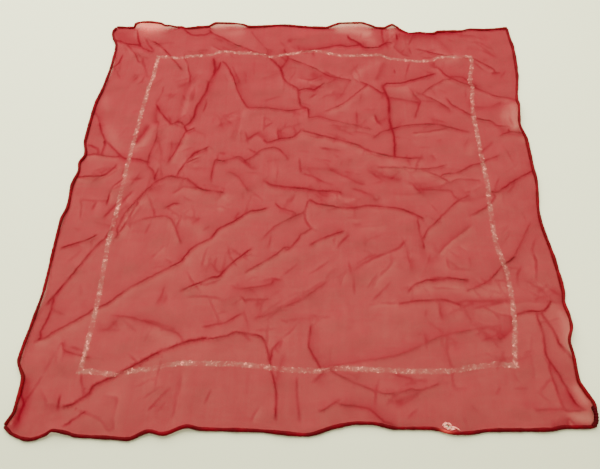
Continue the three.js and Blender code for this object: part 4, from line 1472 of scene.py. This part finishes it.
# A closed tube along a line, with a radius for each ring and a profile round it
def tubeMesh(line, radius, profile):
    count, sides = len(line), len(profile)
    heading = np.gradient(line, axis=0)
    heading /= np.linalg.norm(heading, axis=1)[:, None]
    outward = np.cross(heading, (0, 0, 1))
    outward /= np.linalg.norm(outward, axis=1)[:, None]
    upward = np.cross(outward, heading)
    turns = (np.arange(sides) * 2 * math.pi / sides)[None, :, None]
    ring = np.cos(turns) * outward[:, None] + np.sin(turns) * upward[:, None]
    points = line[:, None] + ring * (radius[:, None] * profile[None, :])[..., None]
    points = np.vstack([points.reshape(-1, 3), line[:1], line[-1:]])
    faces = []
    for i in range(count - 1):
        for j in range(sides):
            k = (j + 1) % sides
            faces.append((i * sides + j, i * sides + k, (i + 1) * sides + k, (i + 1) * sides + j))
    last = (count - 1) * sides
    for j in range(sides):
        k = (j + 1) % sides
        faces.append((count * sides, k, j))
        faces.append((count * sides + 1, last + j, last + k))
    return points, faces


def hemLine(side):
    radius = hem["across"][side] / 2
    ends = halfSide - radius * hem["ends"][side]
    at = np.linspace(-ends, ends, int(2 * ends / hem["step"]) + 1)
    lift = readRows(sideRows[side], at, 2) + radius
    line = np.column_stack([sidePoint(side, at, radius), lift])
    return line if side in ("near", "right") else line[::-1]


# A roll of cloth along a line, with a line along its side where it is stitched down
def makeRoll(name, line, radius, tint, faded=0.0):
    run = runAlong(line)
    turns = np.arange(hem["sides"]) / hem["sides"]
    seam = np.abs(turns - hem["groovePlace"])
    seam = np.minimum(seam, 1 - seam)
    profile = 1 - hem["groove"] * np.exp(-(seam / hem["grooveWide"]) ** 2)
    tip, rounding = hem["tip"]
    radius = radius * np.sqrt(np.clip((np.minimum(run, run[-1] - run) + tip) / rounding, 0, 1))
    line[:, 2] = np.maximum(line[:, 2], radius + hem["table"])
    points, faces = tubeMesh(line, radius, profile)
    worn = np.exp(-(np.linalg.norm(points[:, :2] - hem["palerPlace"], axis=1) / hem["palerReach"]) ** 2)
    # A paler red painted round the spot under the tear, and over the whole hem as much as faded says
    values = {"hemPaler": np.maximum(worn, faded)}
    made = newObject(name, points, faces, hemMaterial(name, tint), values)
    ring, place = np.divmod(np.arange(len(points)), hem["sides"])
    rows = np.stack([run[np.minimum(ring, len(run) - 1)], place / hem["sides"]], 1)
    layUv(made, "alongHem", rows)
    return made


def makeHem(side):
    line = hemLine(side)
    run = runAlong(line)
    wander, slow = (
        waves(np.column_stack([run, run * 0]), shortest, longest, seed + len(side), count)
        for shortest, longest, seed, count in (hem["lumpWaves"], hem["slowWaves"])
    )
    pinch = np.abs(np.sin(math.pi * (run + hem["stitchStray"] * wander) / hem["stitch"]))
    quickShare, slowShare = hem["lumpShares"]
    lumps = quickShare * wander + slowShare * slow
    thick = 1 - hem["pinch"] * (1 - pinch) ** 2 + hem["lump"] * lumps
    radius = hem["across"][side] / 2 * np.clip(thick, *hem["thickRange"])
    made = makeRoll(f"hem_roll_{side}", line, radius, hem["tint"][side], hem["faded"][side])
    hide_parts(f"hem_{side}")
    return made


def makeDoubledEnd():
    line = smoothCurve(doubledEnd["points"], doubledEnd["step"])
    stray = waves(line[:, :2], *doubledEnd["lumpWaves"])
    lumps = np.sin(2 * math.pi * runAlong(line) / doubledEnd["lumps"] + stray)
    radius = doubledEnd["across"] / 2 * (1 + doubledEnd["lump"] * lumps)
    return makeRoll("hem_end_doubled", line, radius, doubledEnd["tint"])


hems = [makeHem(side) for side in sideNames]
hems.append(makeDoubledEnd())
stageDone("hems made")

# The threads that fray from the tear
fray = {
    "step": 0.7,
    "threads": 84,
    "thick": (0.18, 0.42),   # radius
    "taper": 0.5,
    "sides": 6,
    "length": (2.0, 5.0),
    "stray": 0.66,
    "height": (0.5, 1.6),    # above the table
    "loose": 0.36,           # share of the threads that stick out
    "looseReach": (-1.6, 1.2),
    "net": 18,               # dark threads across the gap itself, painted shade for the hole
    "netStray": 0.5,
    "netHeight": (0.3, 0.6),
    "tails": 5,
    "tail": ((170.2, -318.4, 1.2), (172.6, -319.0, 1.5), (174.6, -320.4, 2.4), (177.0, -322.2, 4.7),
             (178.4, -323.3, 4.9)),
    "tailStep": 0.5,
    "tailStray": (0.45, 0.45, 0.1),
    "tailShare": (0.55, 1.0),   # of its full length
    "color": (1.0, 0.47, 0.34, 1),
    "colorDull": (0.74, 0.20, 0.14, 1),
    "colorShadeNet": (0.20, 0.080, 0.050, 1),
    "patches": (500.0, 3.0, 0.6, 0.40, 0.60),
    "roughness": 0.8,
    "seed": 60,
}


def frayMaterial():
    made, tree = newMaterial("frayedThread")
    patch = patches(tree, objectPlace(tree), *fray["patches"])
    color = mixColors(tree, patch, fray["colorDull"], fray["color"])
    # Painted shade: the net's threads are dark
    color = mixColors(tree, measured(tree, "shaded"), color, fray["colorShadeNet"])
    endMaterial(tree, skinShader(tree, color, fray["roughness"], hem["gloss"]))
    return made


# Loose threads that follow the tear's rim or stick out of it, and some that trail over the hem.
# The dark ones of the net, painted shade across the hole, come last.
def frayLines(dice):
    count, lines = len(tearLoop), []
    for _ in range(fray["tails"]):
        line = smoothCurve(fray["tail"], fray["tailStep"]) + dice.normal(0, fray["tailStray"])
        lines.append(line[:int(len(line) * dice.uniform(*fray["tailShare"]))])
    for _ in range(fray["threads"]):
        length, at = dice.uniform(*fray["length"]), dice.integers(count)
        picks = (at + np.arange(max(4, int(length / fray["step"])))) % count
        plan = tearLoop[picks] + dice.normal(0, fray["stray"], 2)
        if dice.random() < fray["loose"]:
            outwards = sideways(plan) * dice.uniform(*fray["looseReach"])
            plan = plan + outwards * np.linspace(0, 1, len(plan))[:, None] ** 2
        rise = np.linspace(*dice.uniform(*fray["height"], 2), len(plan))
        lines.append(np.column_stack([plan, rise]))
    for _ in range(fray["net"]):
        start, end = tearLoop[dice.choice(count, 2, replace=False)]
        middle = (start + end) / 2 + dice.normal(0, fray["netStray"], 2)
        plan = smoothLine((start, middle, end), fray["step"])
        lines.append(np.column_stack([plan, np.full(len(plan), dice.uniform(*fray["netHeight"]))]))
    return lines


def makeFray():
    dice = seededDice(fray["seed"])
    lines = frayLines(dice)
    points, faces, shaded = [], [], []
    for number, line in enumerate(lines):
        bulge = 1 - fray["taper"] * np.linspace(-1, 1, len(line)) ** 2
        more, sides = tubeMesh(line, dice.uniform(*fray["thick"]) * bulge, np.ones(fray["sides"]))
        faces += [tuple(corner + len(shaded) for corner in face) for face in sides]
        points.append(more)
        shaded += [float(number >= len(lines) - fray["net"])] * len(more)
    values = {"shaded": np.array(shaded)}
    return newObject("frayed_threads", np.vstack(points), faces, frayMaterial(), values)


extras = [*hems, makeFray()]
stageDone("tear frayed")

for piece in [cloth, *extras]:
    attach(piece, bodyName)

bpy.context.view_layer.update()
stageDone("size written")
